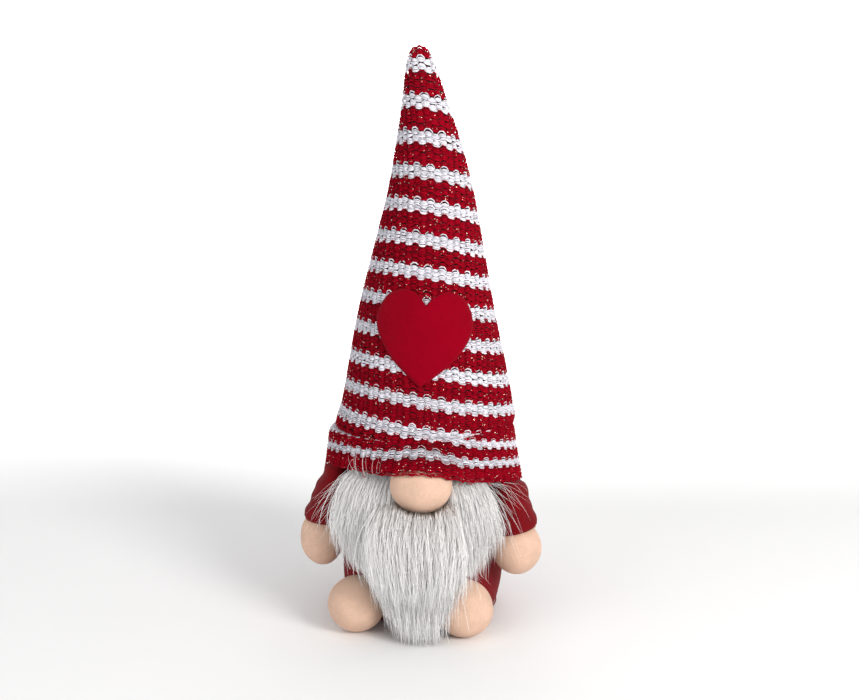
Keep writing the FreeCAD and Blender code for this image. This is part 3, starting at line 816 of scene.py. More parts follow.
class GNOME_OT_hat_inside(bpy.types.Operator):
    """Makes the lining and the filling of the hat, and the seam up its back"""

    bl_idname = "gnome.hat_inside"
    bl_label = "Hat lining and seam"

    def execute(self, context):
        lining = crown_shell("crown_lining", GROUND, GROUND - LINING, lining_with_painted_shade())
        bend_with_hat(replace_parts(lining, "hat_lining"))
        band = band_shell("band_lining", lining_with_painted_shade())
        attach(band, "torso")
        filling = crown_filling("hat_filling", wadding())
        bend_with_hat(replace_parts(filling, "hat_stuffing"))
        bend_with_hat(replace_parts(back_seam(), "hat_seam"))
        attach(brim_ends(), "torso")
        return {"FINISHED"}


def back_seam():
    """The crown's overlocked back seam: a padded ridge, and a thread that winds round it."""
    assembly = Assembly()
    along = np.linspace(4 * MM, CROWN_LENGTH - 9 * MM, 420)
    back = np.full_like(along, math.pi)
    line = crown_point(back, along, 0.7 * MM)
    facing = unit(crown_point(back, along, 1.7 * MM) - line)
    add_tubes(
        assembly, line[None], np.full((1, len(along)), 0.9 * MM), facing[None], sides=8,
        tone=np.full((1, len(along)), 0.5),
    )
    pitch = 3.0 * MM
    turn = 2 * math.pi * np.linspace(0, (along[-1] - along[0]) / pitch, 1600)
    way = np.linspace(along[0], along[-1], 1600)
    radius = crown_point(np.full_like(way, math.pi), way)[:, 1]
    angle = math.pi + 1.25 * MM * np.cos(turn) / radius
    thread = crown_point(angle, way, (0.85 + 1.0 * np.sin(turn)) * MM)
    add_tubes(
        assembly, thread[None], np.full((1, 1600), 0.28 * MM), np.broadcast_to(facing[0], thread[None].shape),
        sides=5, tone=np.full((1, 1600), 0.9),
    )
    return assembly.make("hat_back_seam", [red_yarn()])


def brim_ends():
    """Loose ends of red yarn at the raw edge of the brim, and the thread that runs along that edge."""
    chance = np.random.default_rng(SEED + 2)
    assembly = Assembly()
    angle = np.linspace(-math.pi, math.pi, 700)
    wave = 0.12 * MM * np.sin(angle * 97) + 0.1 * MM * np.sin(angle * 41 + 1)
    edge = band_point(angle, -0.5 * MM + wave, 0.15 * MM * np.sin(angle * 60))
    facing = np.broadcast_to([0, 0, 1.0], edge[None].shape)
    add_tubes(assembly, edge[None], np.full((1, 700), 0.36 * MM), facing, sides=4, tone=np.full((1, 700), 0.4))
    roots = np.concatenate([[0.34, 0.36, 0.62, 0.66, 0.70], chance.uniform(0.6, 2 * math.pi - 0.6, 14)])
    share = np.linspace(0, 1, 9)[None, :]
    length = chance.uniform(2.5, 6.5, (len(roots), 1)) * MM
    spread = chance.normal(0, 0.05, (len(roots), 1))
    angle = roots[:, None] + (spread + 0.07) * share + 0.02 * np.sin(6 * share)
    ends = band_point(angle, 0.6 * MM - length * share * 0.75, 0.6 * MM + 0.8 * MM * share)
    facing = np.broadcast_to([0.3, 0.2, 1.0], ends.shape)
    thick = np.full(ends.shape[:2], 0.24 * MM)
    add_tubes(assembly, ends, thick, facing, sides=4, tone=np.full(ends.shape[:2], 0.5))
    return assembly.make("brim_edge_yarn", [red_yarn()])


# --- The heart ----------------------------------------------------------------------------------------------

HEART_MIDDLE = (1.0 * MM, 151.0 * MM)
HEART_HALF_WIDTH = 24.3 * MM
HEART_TURN = math.radians(4.5)
# Right half of the heart as share of its half width: notch, top of the lobe, side and point.
HEART_EDGE = [(0.0, 0.66), (0.17, 0.86), (0.46, 0.97), (0.80, 0.80), (0.99, 0.38), (0.93, -0.02), (0.66, -0.44),
              (0.32, -0.76), (0.0, -1.02)]


class GNOME_OT_heart(bpy.types.Operator):
    """Lays the felt heart on the crown"""

    bl_idname = "gnome.heart"
    bl_label = "Felt heart"

    def execute(self, context):
        half = smooth_line(HEART_EDGE, 70)[0]
        edge = np.concatenate([half, (half * (-1, 1))[::-1][1:-1]]) * HEART_HALF_WIDTH
        edge = edge @ np.array([[math.cos(HEART_TURN), -math.sin(HEART_TURN)],
                                [math.sin(HEART_TURN), math.cos(HEART_TURN)]])
        share = np.concatenate([np.linspace(0.02, 0.9, 26), [0.94, 0.97, 0.99, 1.0]])
        top = 1 - 0.8 * ease(0.93, 1.0, share)
        share = np.concatenate([share, share[::-1]])
        out = np.concatenate([1.0 * MM + 1.5 * MM * top, np.full(len(top), 1.0 * MM)])
        flat = share[:, None, None] * edge[None]
        x, height = flat[..., 0] + HEART_MIDDLE[0], flat[..., 1] + HEART_MIDDLE[1]
        pucker = 0.16 * MM * np.sin(x * 900) * np.sin(height * 760)
        pucker = pucker + 0.1 * MM * np.sin(x * 2300 + height * 1900)
        points = on_crown(x, height, out[:, None] + pucker * (share[:, None] ** 2))
        assembly = Assembly()
        add_rings(assembly, points[:, ::-1])
        piece = assembly.make("felt_heart", [felt()])
        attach(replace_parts(piece, "heart_patch"), "hat_crown")
        return {"FINISHED"}


def on_crown(x, height, out):
    """Points of the crown's front that are seen at a sideways place and a height: the length up the side with
    that height is looked up, and the angle is the one whose sine gives the place."""
    along = np.linspace(0, CROWN_LENGTH, 1200)
    front = crown_point(np.zeros_like(along), along)
    rising = front[:, 2] > 104 * MM
    way = np.interp(height, front[rising, 2], along[rising])
    radius = np.interp(way, along, -front[:, 1])
    angle = np.arcsin(np.clip((x - lean(height)) / radius, -1, 1))
    return crown_point(angle, way, out)


# --- Stuffed pieces -----------------------------------------------------------------------------------------

STUFFING_STEPS = 14  # frames of the cloth simulation
SLEEVE_PRESSURE = 1.5
BODY_PRESSURE = 1.0
COVER = 0.9 * MM  # thickness of the cloth round an arm's filling

def round_form(name, middle, half, made, rows=40, columns=64, shape=None):
    """A ball stretched to half sizes, as rings from its bottom to its top. Shape may move each point, given the
    directions from the middle."""
    polar = np.linspace(0, math.pi, rows + 2)[1:-1][:, None]
    around = (np.arange(columns) * 2 * math.pi / columns)[None, :]
    direction = np.stack([
        np.sin(polar) * np.cos(around), np.sin(polar) * np.sin(around), -np.cos(polar) * np.ones_like(around)
    ], -1)
    points = np.array(middle) + direction * np.array(half)
    if shape is not None:
        points = shape(points, direction)
    assembly = Assembly()
    add_rings(assembly, points)
    return assembly.make(name, [made])


def stuff(piece, pressure=None):
    """Swells a closed piece as its filling does: a cloth simulation with air pressure and no gravity, whose
    movement is capped. The result stays in the mesh."""
    scene = bpy.context.scene
    settings = scene.gnome_cloth
    count = len(piece.data.vertices)
    before = np.empty(count * 3, np.float32)
    piece.data.vertices.foreach_get("co", before)
    cloth = piece.modifiers.new("Cloth", "CLOTH")
    cloth.settings.quality = 5
    cloth.settings.mass = 0.1
    cloth.settings.use_pressure = True
    cloth.settings.uniform_pressure_force = settings.pressure if pressure is None else pressure
    cloth.settings.tension_stiffness = 12
    cloth.settings.compression_stiffness = 12
    cloth.settings.bending_stiffness = 0.4
    cloth.settings.effector_weights.gravity = 0
    cloth.point_cache.frame_start, cloth.point_cache.frame_end = 1, STUFFING_STEPS
    for step in range(1, STUFFING_STEPS + 1):
        scene.frame_set(step)
    deps = bpy.context.evaluated_depsgraph_get()
    after = np.empty(count * 3, np.float32)
    evaluated = piece.evaluated_get(deps)
    shaped = evaluated.to_mesh()
    shaped.vertices.foreach_get("co", after)
    evaluated.to_mesh_clear()
    piece.modifiers.remove(cloth)
    scene.frame_set(1)
    move = (after - before).reshape(-1, 3)
    size = np.linalg.norm(move, axis=1, keepdims=True)
    move = move * np.minimum(1, settings.swell / np.maximum(size, 1e-9))
    piece.data.vertices.foreach_set("co", (before.reshape(-1, 3) + move).ravel())
    piece.data.update()


def lumps(points, direction, seed, depth):
    """Moves points along their direction by a few slow waves, as uneven filling does."""
    chance = np.random.default_rng(seed)
    height = np.zeros(points.shape[:-1])
    for _ in range(6):
        wave = chance.normal(0, 1, 3)
        height = height + np.sin(points @ (wave * 160) + chance.uniform(0, 6.3))
    return points + direction * (height / 6 * depth)[..., None]


def gathered(points, direction, pole, seed, pinch=1.6 * MM):
    """A gathered pole: the points near it are drawn in, and pleats run out from it and fade away."""
    pole = np.array(pole) / np.linalg.norm(pole)
    side = unit(np.cross(pole, [0.3, 0.2, 1.0]))
    up = np.cross(pole, side)
    near = np.arccos(np.clip(direction @ pole, -1, 1))
    round_pole = np.arctan2(direction @ up, direction @ side)
    pleat = 0.35 * MM * np.cos(13 * round_pole + 2 * np.sin(round_pole + seed)) * bell(near - 0.35, 0.35)
    return points + direction * (pleat - pinch * bell(near, 0.3))[..., None]


def under_band(points):
    """Draws the points above the brim in until they lie inside the band's lining."""
    angle = np.arctan2(points[..., 0], -points[..., 1])
    lining = band_point(angle, np.maximum(points[..., 2] - brim_height(angle), 0), GROUND - LINING - 0.6 * MM)
    radius = np.hypot(points[..., 0], points[..., 1])
    above = ease(-3 * MM, 0.5 * MM, points[..., 2] - brim_height(angle))
    scale = 1 - above * (1 - np.minimum(1, np.hypot(lining[..., 0], lining[..., 1]) / radius))
    return points * np.stack([scale, scale, np.ones_like(scale)], -1)


def fill(cover, name, node):
    """The filling of a stuffed piece: its cover's form, drawn in along its normals."""
    mesh = cover.data.copy()
    mesh.name = name
    points, normals = np.empty((2, len(mesh.vertices) * 3), np.float32)
    mesh.vertices.foreach_get("co", points)
    mesh.vertex_normals.foreach_get("vector", normals)
    mesh.vertices.foreach_set("co", points - COVER * normals)
    mesh.materials.clear()
    mesh.materials.append(wadding())
    filling = bpy.data.objects.new(name, mesh)
    bpy.context.scene.collection.objects.link(filling)
    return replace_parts(filling, node)


def node_middle(name):
    """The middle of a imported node's box."""
    low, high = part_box(name)
    return (Vector(low) + Vector(high)) / 2


def node_half(name):
    """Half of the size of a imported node's box."""
    low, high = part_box(name)
    return (Vector(high) - Vector(low)) / 2


class GNOME_OT_nose(bpy.types.Operator):
    """Makes the stuffed nose"""

    bl_idname = "gnome.nose"
    bl_label = "Nose"

    def execute(self, context):
        middle, half = node_middle("nose_cover"), node_half("nose_cover")

        def shape(points, direction):
            points = gathered(points, direction, (0, 1, 0), 1)
            return under_band(lumps(points, direction, 5, 0.7 * MM))

        piece = round_form("nose", middle, (half.x, half.y, half.z), flesh_velour(), 56, 90, shape)
        stuff(piece)
        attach(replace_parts(piece, "nose_cover"), "torso")
        return {"FINISHED"}


FOOT_SHIFT = {"left": 0.45 * MM, "right": 1.5 * MM}  # how far each foot is pressed back against the body


class GNOME_OT_feet(bpy.types.Operator):
    """Makes both ball feet"""

    bl_idname = "gnome.feet"
    bl_label = "Feet"

    def execute(self, context):
        for seed, side in enumerate(SIDES):
            middle, half = node_middle(f"foot_cover_{side}"), node_half(f"foot_cover_{side}")
            back = np.array([-middle.x, -middle.y, 0.0])
            shift = FOOT_SHIFT[side] * back / np.linalg.norm(back)

            def shape(points, direction):
                points = gathered(points, direction, back, seed)
                points = lumps(points, direction, 11 + seed, 0.6 * MM) + shift
                least = np.interp(points[..., 2], BODY_SIDE[1:-1, 1], BODY_SIDE[1:-1, 0]) + 0.5 * MM
                scale = np.maximum(least / np.hypot(points[..., 0], points[..., 1]), 1)
                rest = np.maximum(points[..., 2], 0.25 * MM)
                return np.stack([points[..., 0] * scale, points[..., 1] * scale, rest], -1)

            size = (half.x + 0.4 * MM, half.y + 0.4 * MM, half.z)
            piece = round_form(f"foot_{side}", middle, size, flesh_velour(), 56, 90, shape)
            stuff(piece)
            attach(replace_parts(piece, f"foot_cover_{side}"), f"foot_{side}")
        return {"FINISHED"}


# Each arm's line from its root under the brim to the cuff: x, y, z and half widths across and front to back.
ARM_LINES = {
    "left": [(42.5, -11.0, 86.0, 4.5, 9.5), (45.0, -12.0, 76.0, 7.4, 11.0), (47.4, -18.0, 62.0, 10.2, 12.6),
             (48.8, -26.0, 53.5, 11.2, 12.4), (49.6, -29.8, 48.8, 11.4, 11.4)],
    "right": [(-42.5, -10.5, 88.0, 4.5, 9.5), (-44.8, -11.5, 78.0, 7.2, 11.0), (-48.8, -13.5, 64.0, 9.9, 12.2),
              (-51.4, -16.0, 55.0, 10.8, 12.0), (-52.4, -17.0, 50.6, 11.2, 11.6)],
}
# Each hand's half sizes, its turn in degrees, the cuff's height and how steeply the cuff rises outwards.
HAND_SHAPES = {
    "left": {"size": (12.9, 12.0, 14.4), "turn": -14.0, "cuff": 48.6, "slope": 0.24},
    "right": {"size": (12.4, 12.3, 16.7), "turn": 5.0, "cuff": 50.2, "slope": 0.14},
}


class GNOME_OT_arms(bpy.types.Operator):
    """Makes the sleeves and the mitten hands"""

    bl_idname = "gnome.arms"
    bl_label = "Arms"

    def execute(self, context):
        for seed, side in enumerate(SIDES):
            sleeve = make_sleeve(side, seed)
            root = node_middle(f"shoulder_tab_{side}")
            start, end = (root.x, root.y, 80 * MM), (root.x, root.y, 58 * MM)
            for piece in (sleeve, fill(sleeve, f"arm_filling_{side}", f"arm_stuffing_{side}")):
                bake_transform(piece)
                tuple(start)
                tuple(end)
            for piece in (make_hand(side, seed), make_cuff_thread(side)):
                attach(piece, f"arm_{side}")
        return {"FINISHED"}


def cuff_rise(side, x):
    """How much higher the cuff is at a sideways place than at the middle of the hand."""
    outward = 1 if side == "left" else -1
    return HAND_SHAPES[side]["slope"] * (outward * x - abs(ARM_LINES[side][-1][0]) * MM)


def make_cuff_thread(side):
    """The thread that draws the cuff in: a ring round the arm, tilted as the cuff is."""
    x, y, _, wide, deep = np.array(ARM_LINES[side][-1]) * MM
    angle = np.linspace(0, 2 * math.pi, 90)
    across = x + 0.86 * wide * np.cos(angle)
    height = HAND_SHAPES[side]["cuff"] * MM + cuff_rise(side, across)
    ring = np.stack([across, y + 0.86 * deep * np.sin(angle), height], -1)
    assembly = Assembly()
    facing = np.broadcast_to([0, 0, 1.0], ring[None].shape)
    add_tubes(assembly, ring[None], np.full((1, 90), 0.35 * MM), facing, sides=8)
    piece = assembly.make(f"cuff_yarn_{side}", [flesh_thread()])
    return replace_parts(piece, f"cuff_thread_{side}")


def make_sleeve(side, seed):
    """The sleeve: ovals along the arm's line, with soft creases across it and a turned-in cuff."""
    line = smooth_line(np.array(ARM_LINES[side]) * MM, 60)[0]
    share = np.linspace(0, 1, 60)[:, None]
    angle = (np.arange(56) * 2 * math.pi / 56)[None, :]
    crease = 0.45 * MM * np.sin(share * 17 + 1.5 * np.sin(angle + seed)) * np.sin(math.pi * share)
    crease = crease + 0.3 * MM * np.sin(share * 31 + 2 * angle)
    turned_in = 1 - 0.15 * ease(0.95, 1.0, share) - 0.3 * (1 - ease(0.0, 0.06, share))
    x = line[:, None, 0] + (line[:, None, 3] + crease) * turned_in * np.cos(angle)
    y = line[:, None, 1] + (line[:, None, 4] + crease) * turned_in * np.sin(angle)
    z = line[:, None, 2] + cuff_rise(side, x) * share**4
    assembly = Assembly()
    add_rings(assembly, under_band(np.stack([x, y, z], -1))[::-1])
    piece = assembly.make(f"sleeve_cloth_{side}", [red_velour()])
    stuff(piece, pressure=SLEEVE_PRESSURE)
    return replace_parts(piece, f"sleeve_{side}")


def make_hand(side, seed):
    """The mitten: a stretched ball leaning outwards, drawn in at the cuff by its thread."""
    middle = np.array(node_middle(f"hand_stuffing_{side}"))
    look = HAND_SHAPES[side]
    turn = math.radians(look["turn"])
    turned = np.array([[math.cos(turn), 0, math.sin(turn)], [0, 1, 0], [-math.sin(turn), 0, math.cos(turn)]])
    middle[2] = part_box(f"hand_cover_{side}")[0][2] + look["size"][2] * MM

    def shape(points, direction):
        points = middle + (points - middle) @ turned.T
        points = lumps(points, direction, 31 + seed, 0.8 * MM)
        past = points[..., 2] - look["cuff"] * MM - cuff_rise(side, points[..., 0])
        over = np.maximum(past, 0)
        drawn = 1 - 0.12 * ease(-3 * MM, 1 * MM, past)
        x = middle[0] + (points[..., 0] - middle[0]) * drawn
        y = middle[1] + (points[..., 1] - middle[1]) * drawn
        return np.stack([x, y, points[..., 2] - 0.6 * over], -1)

    size = [value * MM for value in look["size"]]
    piece = round_form(f"hand_{side}", middle, size, flesh_velour(), 56, 90, shape)
    stuff(piece)
    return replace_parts(piece, f"hand_cover_{side}")


BODY_SIDE = np.array([
    (0.0, 0.9), (30.0, 0.9), (38.6, 1.0), (40.6, 2.4), (42.2, 8.0), (43.3, 18.0), (43.5, 32.0), (42.0, 48.0),
    (39.4, 62.0), (38.2, 74.0), (37.2, 86.0), (32.0, 91.0), (18.0, 96.8), (0.0, 98.6),
]) * MM


class GNOME_OT_body(bpy.types.Operator):
    """Makes the stuffed body with its back seam"""

    bl_idname = "gnome.body"
    bl_label = "Body"

    def execute(self, context):
        side = smooth_line(BODY_SIDE, 130)[0][2:-2]
        angle = (np.arange(120) * 2 * math.pi / 120)[None, :]
        radius, height = side[:, None, 0], side[:, None, 1]
        back = np.arctan2(np.sin(angle - math.pi / 2), np.cos(angle - math.pi / 2))
        upright = ease(4 * MM, 14 * MM, height) * (1 - ease(66 * MM, 80 * MM, height))
        seam = bell(back, 0.035) * upright
        pull = np.sin(height / (4.5 * MM) * 2 * math.pi) * bell(back, 0.09) * upright
        wave = 0.4 * MM * np.sin(3 * angle + height * 90) * upright
        wave = wave + 0.22 * MM * np.sin(7 * angle - height * 160)
        for name in SIDES:
            foot = node_middle(f"foot_cover_{name}")
            turned = angle - math.atan2(foot.y, foot.x)
            near = bell(radius * np.sin(turned), 7 * MM) * bell(height - foot.z - 1 * MM, 9 * MM)
            wave = wave - 1.7 * MM * near * (np.cos(turned) > 0)
        radius = radius + wave * ease(20 * MM, 36 * MM, radius) - 0.9 * MM * seam + 0.25 * MM * pull
        points = np.stack([radius * np.cos(angle), radius * np.sin(angle), height + 0 * angle], -1)
        assembly = Assembly()
        add_rings(assembly, points)
        piece = assembly.make("body_cloth", [red_velour()])
        stuff(piece, pressure=BODY_PRESSURE)
        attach(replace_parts(piece, "body_cover", "base_panel"), "torso")
        return {"FINISHED"}


# --- The beard ----------------------------------------------------------------------------------------------

BEARD_FRONT = -68.0 * MM  # where the beard's point reaches forward
FOOT_LIFTS = (0.0, 1.3 * MM, 2.6 * MM, 3.9 * MM)  # how far a foot's middle rises as it swings on its hinge


def keep_out(points, middle, half):
    """Pushes points that are inside a stretched ball out to its skin, away from its middle."""
    inside = (points - middle) / half
    distance = np.linalg.norm(inside, axis=-1, keepdims=True)
    return np.where(distance < 1, middle + (points - middle) / np.maximum(distance, 1e-6), points)


def clear_body(points):
    """Keeps fur outside the body, the nose and the feet, under the brim and above the floor."""
    radius = np.hypot(points[..., 0], points[..., 1])
    least = np.interp(points[..., 2], BODY_SIDE[1:-1, 1], BODY_SIDE[1:-1, 0]) + 2.0 * MM
    scale = np.maximum(least / np.maximum(radius, 1e-6), 1)
    points = points * np.stack([scale, scale, np.ones_like(scale)], -1)
    points = keep_out(points, np.array(node_middle("nose_cover")), np.array(node_half("nose_cover")) + 0.3 * MM)
    for side in SIDES:
        half = np.array(node_half(f"foot_cover_{side}")) + 1.3 * MM
        for lift in FOOT_LIFTS:
            middle = np.array(node_middle(f"foot_cover_{side}")) + (0, 0, lift)
            points = keep_out(points, middle, half)
    angle = np.arctan2(points[..., 0], -points[..., 1])
    ceiling = np.where(np.hypot(points[..., 0], points[..., 1]) > 47 * MM, brim_height(angle) - 1.5 * MM, 1.0)
    height = np.maximum(np.minimum(points[..., 2], ceiling), 0.7 * MM)
    return np.stack([points[..., 0], points[..., 1], height], -1)


LIP_SHARE = 0.12  # share of the hairs that start under the nose
PATH_STEPS = 9  # points that a hair is traced with
KEPT_STEPS = [0, 1, 3, 4, 6, 7, 8]  # those of them that its mesh keeps


def fur_paths(chance, settings, depth):
    """Paths of beard hairs. A hair starts on the body's front between two angles and two heights, leaves it
    outwards and sideways, and is pulled down and towards the beard's middle line as it goes, by small steps,
    less so on the figure's left. After each step it is pushed clear of the body, nose and feet. One hair in
    eight starts under the nose."""
    count = settings.strands
    high = chance.uniform(0, 1, count) ** 0.7
    wide = 0.46 + 0.54 * high
    angle = chance.uniform(-1, 1, count) * wide * (0.90 - 0.13 * high) - 0.08
    root_height = (36 + 51 * high) * MM
    radius = np.interp(root_height, BODY_SIDE[1:-1, 1], BODY_SIDE[1:-1, 0]) + 1.0 * MM
    lip = chance.uniform(0, 1, count) < LIP_SHARE
    angle = np.where(lip, angle * 0.45, angle)
    root_height = np.where(lip, chance.uniform(60, 71, count) * MM, root_height)
    radius = np.where(lip, chance.uniform(50, 63, count) * MM, radius)
    point = np.stack([radius * np.sin(angle), -radius * np.cos(angle), root_height], -1)
    outward = np.stack([np.sin(angle), -np.cos(angle), np.zeros(count)], -1)
    length = settings.length * chance.uniform(0.68, 1.1, count)
    low = 1 - ease(45 * MM, 80 * MM, root_height)
    middle = bell(angle, 0.55)
    length = length * (1 + 0.16 * middle * low) * (1 - 0.14 * (1 - middle) * low)
    straight = ease(0.1, 0.5, angle)[:, None]
    loose = chance.normal(0, 1, (count, 3)) * np.array([0.16, 0.10, 0.05])
    clump = np.sin(angle[:, None] * np.array([23.0, 61.0]) + np.array([0.4, 2.0])) @ np.array([0.5, 0.35])
    side = np.stack([np.cos(angle), np.sin(angle), np.zeros(count)], -1)
    step = (length / (PATH_STEPS - 1))[:, None]
    paths = [clear_body(point)]
    for index in range(1, PATH_STEPS):
        share = index / (PATH_STEPS - 1)
        spring = depth * (1 - share) ** 2 * 2.3
        way = outward * spring + np.array([0, 0, -1.0]) * (0.35 + 1.3 * share)
        height = paths[-1][:, 2] / MM
        middle_line = np.interp(height, [0, 10, 30, 60], [4.0, 3.0, -1.0, -2.0]) * MM
        pull = np.stack([middle_line - paths[-1][:, 0], BEARD_FRONT - paths[-1][:, 1]], -1)
        drop = (1 - ease(20, 70, height)[:, None]) * (1 - 0.4 * straight)
        way[:, :2] += pull * drop * np.array([36.0, 18.0])
        way = way + side * (clump * 0.13)[:, None] + loose * (0.5 + share)
        way = way + side * (np.sign(angle) * ease(0.45, 0.85, np.abs(angle)) * 0.26 * (1 - share))[:, None]
        paths.append(clear_body(paths[-1] + unit(way) * step))
    return np.stack(paths, axis=1)[:, KEPT_STEPS]


def add_fur(assembly, chance, paths, radius, tone_low=0.0, tone_high=1.0):
    """Tapered hairs along paths: thin at the root, thickest at a third and pointed at the tip."""
    count, samples = paths.shape[:2]
    share = np.linspace(0, 1, samples)[None, :]
    thick = radius * (0.55 + 0.9 * np.sqrt(share + 0.02)) * np.clip(1.12 - share, 0.02, 1) ** 0.7
    thick = thick * chance.uniform(0.7, 1.25, (count, 1))
    facing = np.broadcast_to(unit(np.array([0.2, -1.0, 0.35])), paths.shape)
    tone = chance.uniform(tone_low, tone_high, (count, 1)) + 0 * share
    add_tubes(assembly, paths, thick, facing, sides=3, along=share + 0 * tone, tone=tone)


class GNOME_OT_beard(bpy.types.Operator):
    """Grows the fur of the beard over its undercoat"""

    bl_idname = "gnome.beard"
    bl_label = "Beard"

    def execute(self, context):
        settings = context.scene.gnome_fur
        for layer in range(settings.layers):
            chance = np.random.default_rng(SEED + 100 + layer)
            assembly = Assembly()
            outer = layer / max(settings.layers - 1, 1)
            radius = settings.thickness * (1.25 - 0.35 * outer)
            add_fur(assembly, chance, fur_paths(chance, settings, 0.55 + 0.45 * outer), radius)
            piece = assembly.make(f"beard_fur_{layer + 1}", [fur()])
            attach(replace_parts(piece, "beard_pile"), "torso")
        wisps = Assembly()
        chance = np.random.default_rng(SEED + 200)
        for paths in (wisp_paths(chance), brim_hair_paths(chance)):
            add_fur(wisps, chance, paths, settings.thickness * 0.5, 0.5, 1.0)
        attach(wisps.make("beard_wisps", [fur()]), "torso")
        undercoat = make_undercoat()
        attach(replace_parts(undercoat, "beard_pile"), "torso")
        return {"FINISHED"}


WISPS = 64
BRIM_HAIRS = 11
LOOSE_STEPS = 10  # points along a loose hair


def wisp_paths(chance):
    """Loose hairs that stand out at the temples over the sleeves."""
    count = WISPS
    sign = np.where(chance.uniform(0, 1, count) < 0.5, -1.0, 1.0)
    angle = sign * chance.uniform(0.45, 0.98, count)
    height = chance.uniform(66, 83, count) * MM
    radius = chance.uniform(42, 50, count) * MM
    point = np.stack([radius * np.sin(angle), -radius * np.cos(angle), height], -1)
    length = chance.uniform(14, 34, count) * MM
    way = np.stack([sign * chance.uniform(0.5, 1.1, count), chance.uniform(-0.75, -0.1, count),
                    chance.uniform(-0.8, 0.12, count)], -1)
    fall = np.array([0, 0, -1.0]) * chance.uniform(0.3, 1.2, (count, 1))
    share = np.linspace(0, 1, LOOSE_STEPS)[None, :, None]
    line = unit(way)[:, None, :] * share + fall[:, None, :] * share**2 * 0.6
    return clear_body(point[:, None, :] + line * length[:, None, None])


def brim_hair_paths(chance):
    """A few hairs that curl up over the outside of the brim, on the figure's right."""
    share = np.linspace(0, 1, LOOSE_STEPS)[None, :]
    angle = chance.uniform(-0.75, -0.32, (BRIM_HAIRS, 1)) + chance.normal(0, 0.10, (BRIM_HAIRS, 1)) * share
    height = brim_height(angle) - 3 * MM + chance.uniform(8, 15, (BRIM_HAIRS, 1)) * MM * share
    radius = 55 * MM + 2.2 * MM * np.sin(share * math.pi) - 1.2 * MM * share
    return np.stack([radius * np.sin(angle), -radius * np.cos(angle), height], -1)


def make_undercoat():
    """The dense fur under the long hairs: ovals from the brim to the beard's point, with streaks down them."""
    rows = np.array([
        (82.0, -2.0, -36.0, 28.0, 5.0), (70.0, -3.0, -39.0, 32.0, 8.0), (58.0, -4.0, -43.0, 31.0, 11.0),
        (45.0, -4.0, -47.0, 26.0, 12.0), (32.0, -4.0, -51.0, 19.0, 11.5), (18.0, -1.0, -56.0, 11.0, 8.5),
        (6.0, 1.5, -61.0, 5.0, 4.5), (2.0, 2.5, -63.0, 2.5, 2.4),
    ]) * MM
    line = smooth_line(rows, 90)[0]
    angle = (np.arange(240) * 2 * math.pi / 240)[None, :]
    streak = 1 + 0.035 * np.sin(37 * angle + 60 * line[:, None, 0] * 3) + 0.03 * np.sin(83 * angle)
    x = line[:, None, 1] + line[:, None, 3] * np.cos(angle) * streak
    y = line[:, None, 2] + line[:, None, 4] * np.sin(angle) * streak
    z = line[:, None, 0] + 0 * x
    y = y - 3.5 * MM * bell(x, 15 * MM) * bell(z - 57 * MM, 8 * MM) * (y < -45 * MM)
    points = clear_body(np.stack([x, y, z], -1))
    assembly = Assembly()
    # painted shade: along 0.15 gives the undercoat mostly the fur's painted root shade, and tone 0.3 makes it a
    # little darker than the average lock
    along = np.full(points.shape[:2], 0.15).ravel()
    add_rings(
        assembly, points[::-1], along=np.concatenate([along, [0.15, 0.15]]),
        tone=np.concatenate([0.3 + 0 * along, [0.3, 0.3]]),
    )
    return assembly.make("beard_undercoat", [fur()])


# --- Carried-over nodes and the stage -----------------------------------------------------------------------


class GNOME_OT_inner_pieces(bpy.types.Operator):
    """Gives the carried-over threads, fillings, card and pellets their materials"""

    bl_idname = "gnome.inner_pieces"
    bl_label = "Inner pieces"

    def execute(self, context):
        card = plain_cloth("grey_card", from_bytes(150, 138, 120), 0.9, Fibre_Scale=300.0, Fibre_Depth=0.15)
        cotton = plain_cloth("plain_cotton", from_bytes(225, 222, 210), 0.9, Fibre_Scale=1400.0)
        pellets = plain_cloth("plastic_pellets", from_bytes(225, 225, 225), 0.4, Fibre_Scale=350.0, bump=0.8)
        backing = plain_cloth("fur_backing", from_bytes(196, 192, 186), 0.9, Fibre_Scale=1100.0)
        finishes = {
            "stuffing": wadding(), "wadding": wadding(), "closing": red_thread(), "base_seam": red_thread(),
            "nose_thread": flesh_thread(), "foot_thread": flesh_thread(),
            "base_card": card, "weight_bag": cotton, "weight_pellets": pellets, "beard_backing": backing,
            "shoulder_tab": red_velour(),
        }
        for name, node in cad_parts.items():
            if node.hide_render:
                continue
            found = [made for part, made in finishes.items() if part in name]
            if not found:
                raise RuntimeError(f"the node {name} has no finish")
            for slot in node.material_slots:
                slot.material = found[0]
        return {"FINISHED"}


CAMERA_HEIGHT = 228.6 * MM
CAMERA_DISTANCE = 642.0 * MM
CAMERA_SIDE = 4.3 * MM
CAMERA_PITCH = math.radians(7.89)
LENS = 50.4  # millimetres, on a sensor 36 wide


def make_light(name, place, aim, size, power, colour):
    light = bpy.data.lights.new(name, "AREA")
    light.shape, light.size, light.energy, light.color = "DISK", size, power, colour
    lamp = bpy.data.objects.new(name, light)
    lamp.location = place
    lamp.rotation_euler = (Vector(aim) - Vector(place)).to_track_quat("-Z", "Y").to_euler()
    bpy.context.scene.collection.objects.link(lamp)


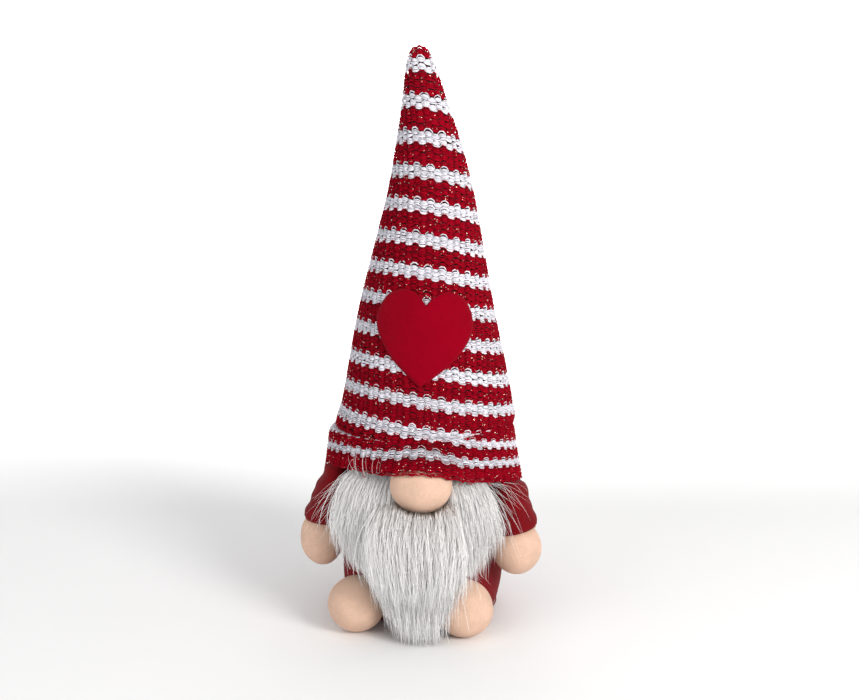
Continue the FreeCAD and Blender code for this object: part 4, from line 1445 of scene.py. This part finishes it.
class GNOME_OT_stage(bpy.types.Operator):
    """Makes the camera, the soft studio light and the pale floor"""

    bl_idname = "gnome.stage"
    bl_label = "Stage"

    def execute(self, context):
        scene = context.scene
        camera = bpy.data.objects.new("camera", bpy.data.cameras.new("camera"))
        camera.data.sensor_width, camera.data.lens = 36.0, LENS
        camera.data.clip_start, camera.data.clip_end = 0.01, 20
        camera.location = (CAMERA_SIDE, -CAMERA_DISTANCE, CAMERA_HEIGHT)
        camera.rotation_euler = (math.pi / 2 - CAMERA_PITCH, 0, 0)
        scene.collection.objects.link(camera)
        scene.camera = camera

        bend = np.linspace(0, math.pi / 2, 24)
        profile = np.concatenate([
            [(-5.0, 0.0)], np.stack([1.2 + 1.5 * np.sin(bend), 1.5 - 1.5 * np.cos(bend)], -1), [(2.7, 6.0)]
        ])
        sides = np.array([-7.0, 7.0])
        depth, height = np.repeat(profile[:, :1], 2, 1), np.repeat(profile[:, 1:], 2, 1)
        points = np.stack([np.broadcast_to(sides, depth.shape), depth, height], -1)
        row = np.arange(len(profile) - 1)[:, None] * 2
        backdrop = Assembly()
        backdrop.add(points, row + np.array([0, 1, 3, 2]))
        paper = bpy.data.materials.new("pale_paper")
        paper.use_nodes = True
        shader = paper.node_tree.nodes["Principled BSDF"]
        shader.inputs["Base Color"].default_value = (0.9, 0.9, 0.9, 1)
        shader.inputs["Roughness"].default_value = 0.9
        backdrop.make("backdrop", [paper])

        scene.world = bpy.data.worlds.new("studio")
        scene.world.use_nodes = True
        sky = scene.world.node_tree.nodes["Background"]
        sky.inputs["Color"].default_value = (1.0, 1.0, 1.0, 1)
        sky.inputs["Strength"].default_value = 0.6
        aim = (0, 0, 0.13)
        make_light("key", (0.75, -0.95, 0.6), aim, 0.5, 12.6, (1.0, 0.985, 0.965))
        make_light("fill", (-0.9, -0.9, 0.35), aim, 0.9, 3.2, (0.97, 0.98, 1.0))
        make_light("wall", (0.0, 0.9, 1.6), (0.0, 2.7, 0.8), 1.6, 70, (1.0, 1.0, 1.0))
        scene.view_settings.view_transform = "Standard"
        return {"FINISHED"}


# --- The add-on ---------------------------------------------------------------------------------------------

OPERATORS = (
    GNOME_OT_stage, GNOME_OT_body, GNOME_OT_arms, GNOME_OT_feet, GNOME_OT_nose, GNOME_OT_hat_knit,
    GNOME_OT_hat_inside, GNOME_OT_heart, GNOME_OT_beard, GNOME_OT_inner_pieces,
)


class GNOME_PT_panel(bpy.types.Panel):
    """Lists the gnome's pieces and settings in the sidebar"""

    bl_label = "Tomte gnome"
    bl_idname = "GNOME_PT_panel"
    bl_space_type = "VIEW_3D"
    bl_region_type = "UI"
    bl_category = "Gnome"

    def draw(self, context):
        for group in (context.scene.gnome_hat, context.scene.gnome_cloth, context.scene.gnome_fur):
            for name in group.__annotations__:
                self.layout.prop(group, name)
        for operator in OPERATORS:
            self.layout.operator(operator.bl_idname)


CLASSES = (HatSettings, ClothSettings, FurSettings, *OPERATORS, GNOME_PT_panel)


def register():
    for each in CLASSES:
        bpy.utils.register_class(each)
    bpy.types.Scene.gnome_hat = PointerProperty(type=HatSettings)
    bpy.types.Scene.gnome_cloth = PointerProperty(type=ClothSettings)
    bpy.types.Scene.gnome_fur = PointerProperty(type=FurSettings)


def unregister():
    for name in ("gnome_hat", "gnome_cloth", "gnome_fur"):
        delattr(bpy.types.Scene, name)
    for each in reversed(CLASSES):
        bpy.utils.unregister_class(each)


def main():
    register()
    for operator in OPERATORS:
        family, name = operator.bl_idname.split(".")
        getattr(getattr(bpy.ops, family), name)()


if __name__ == "__main__":
    main()
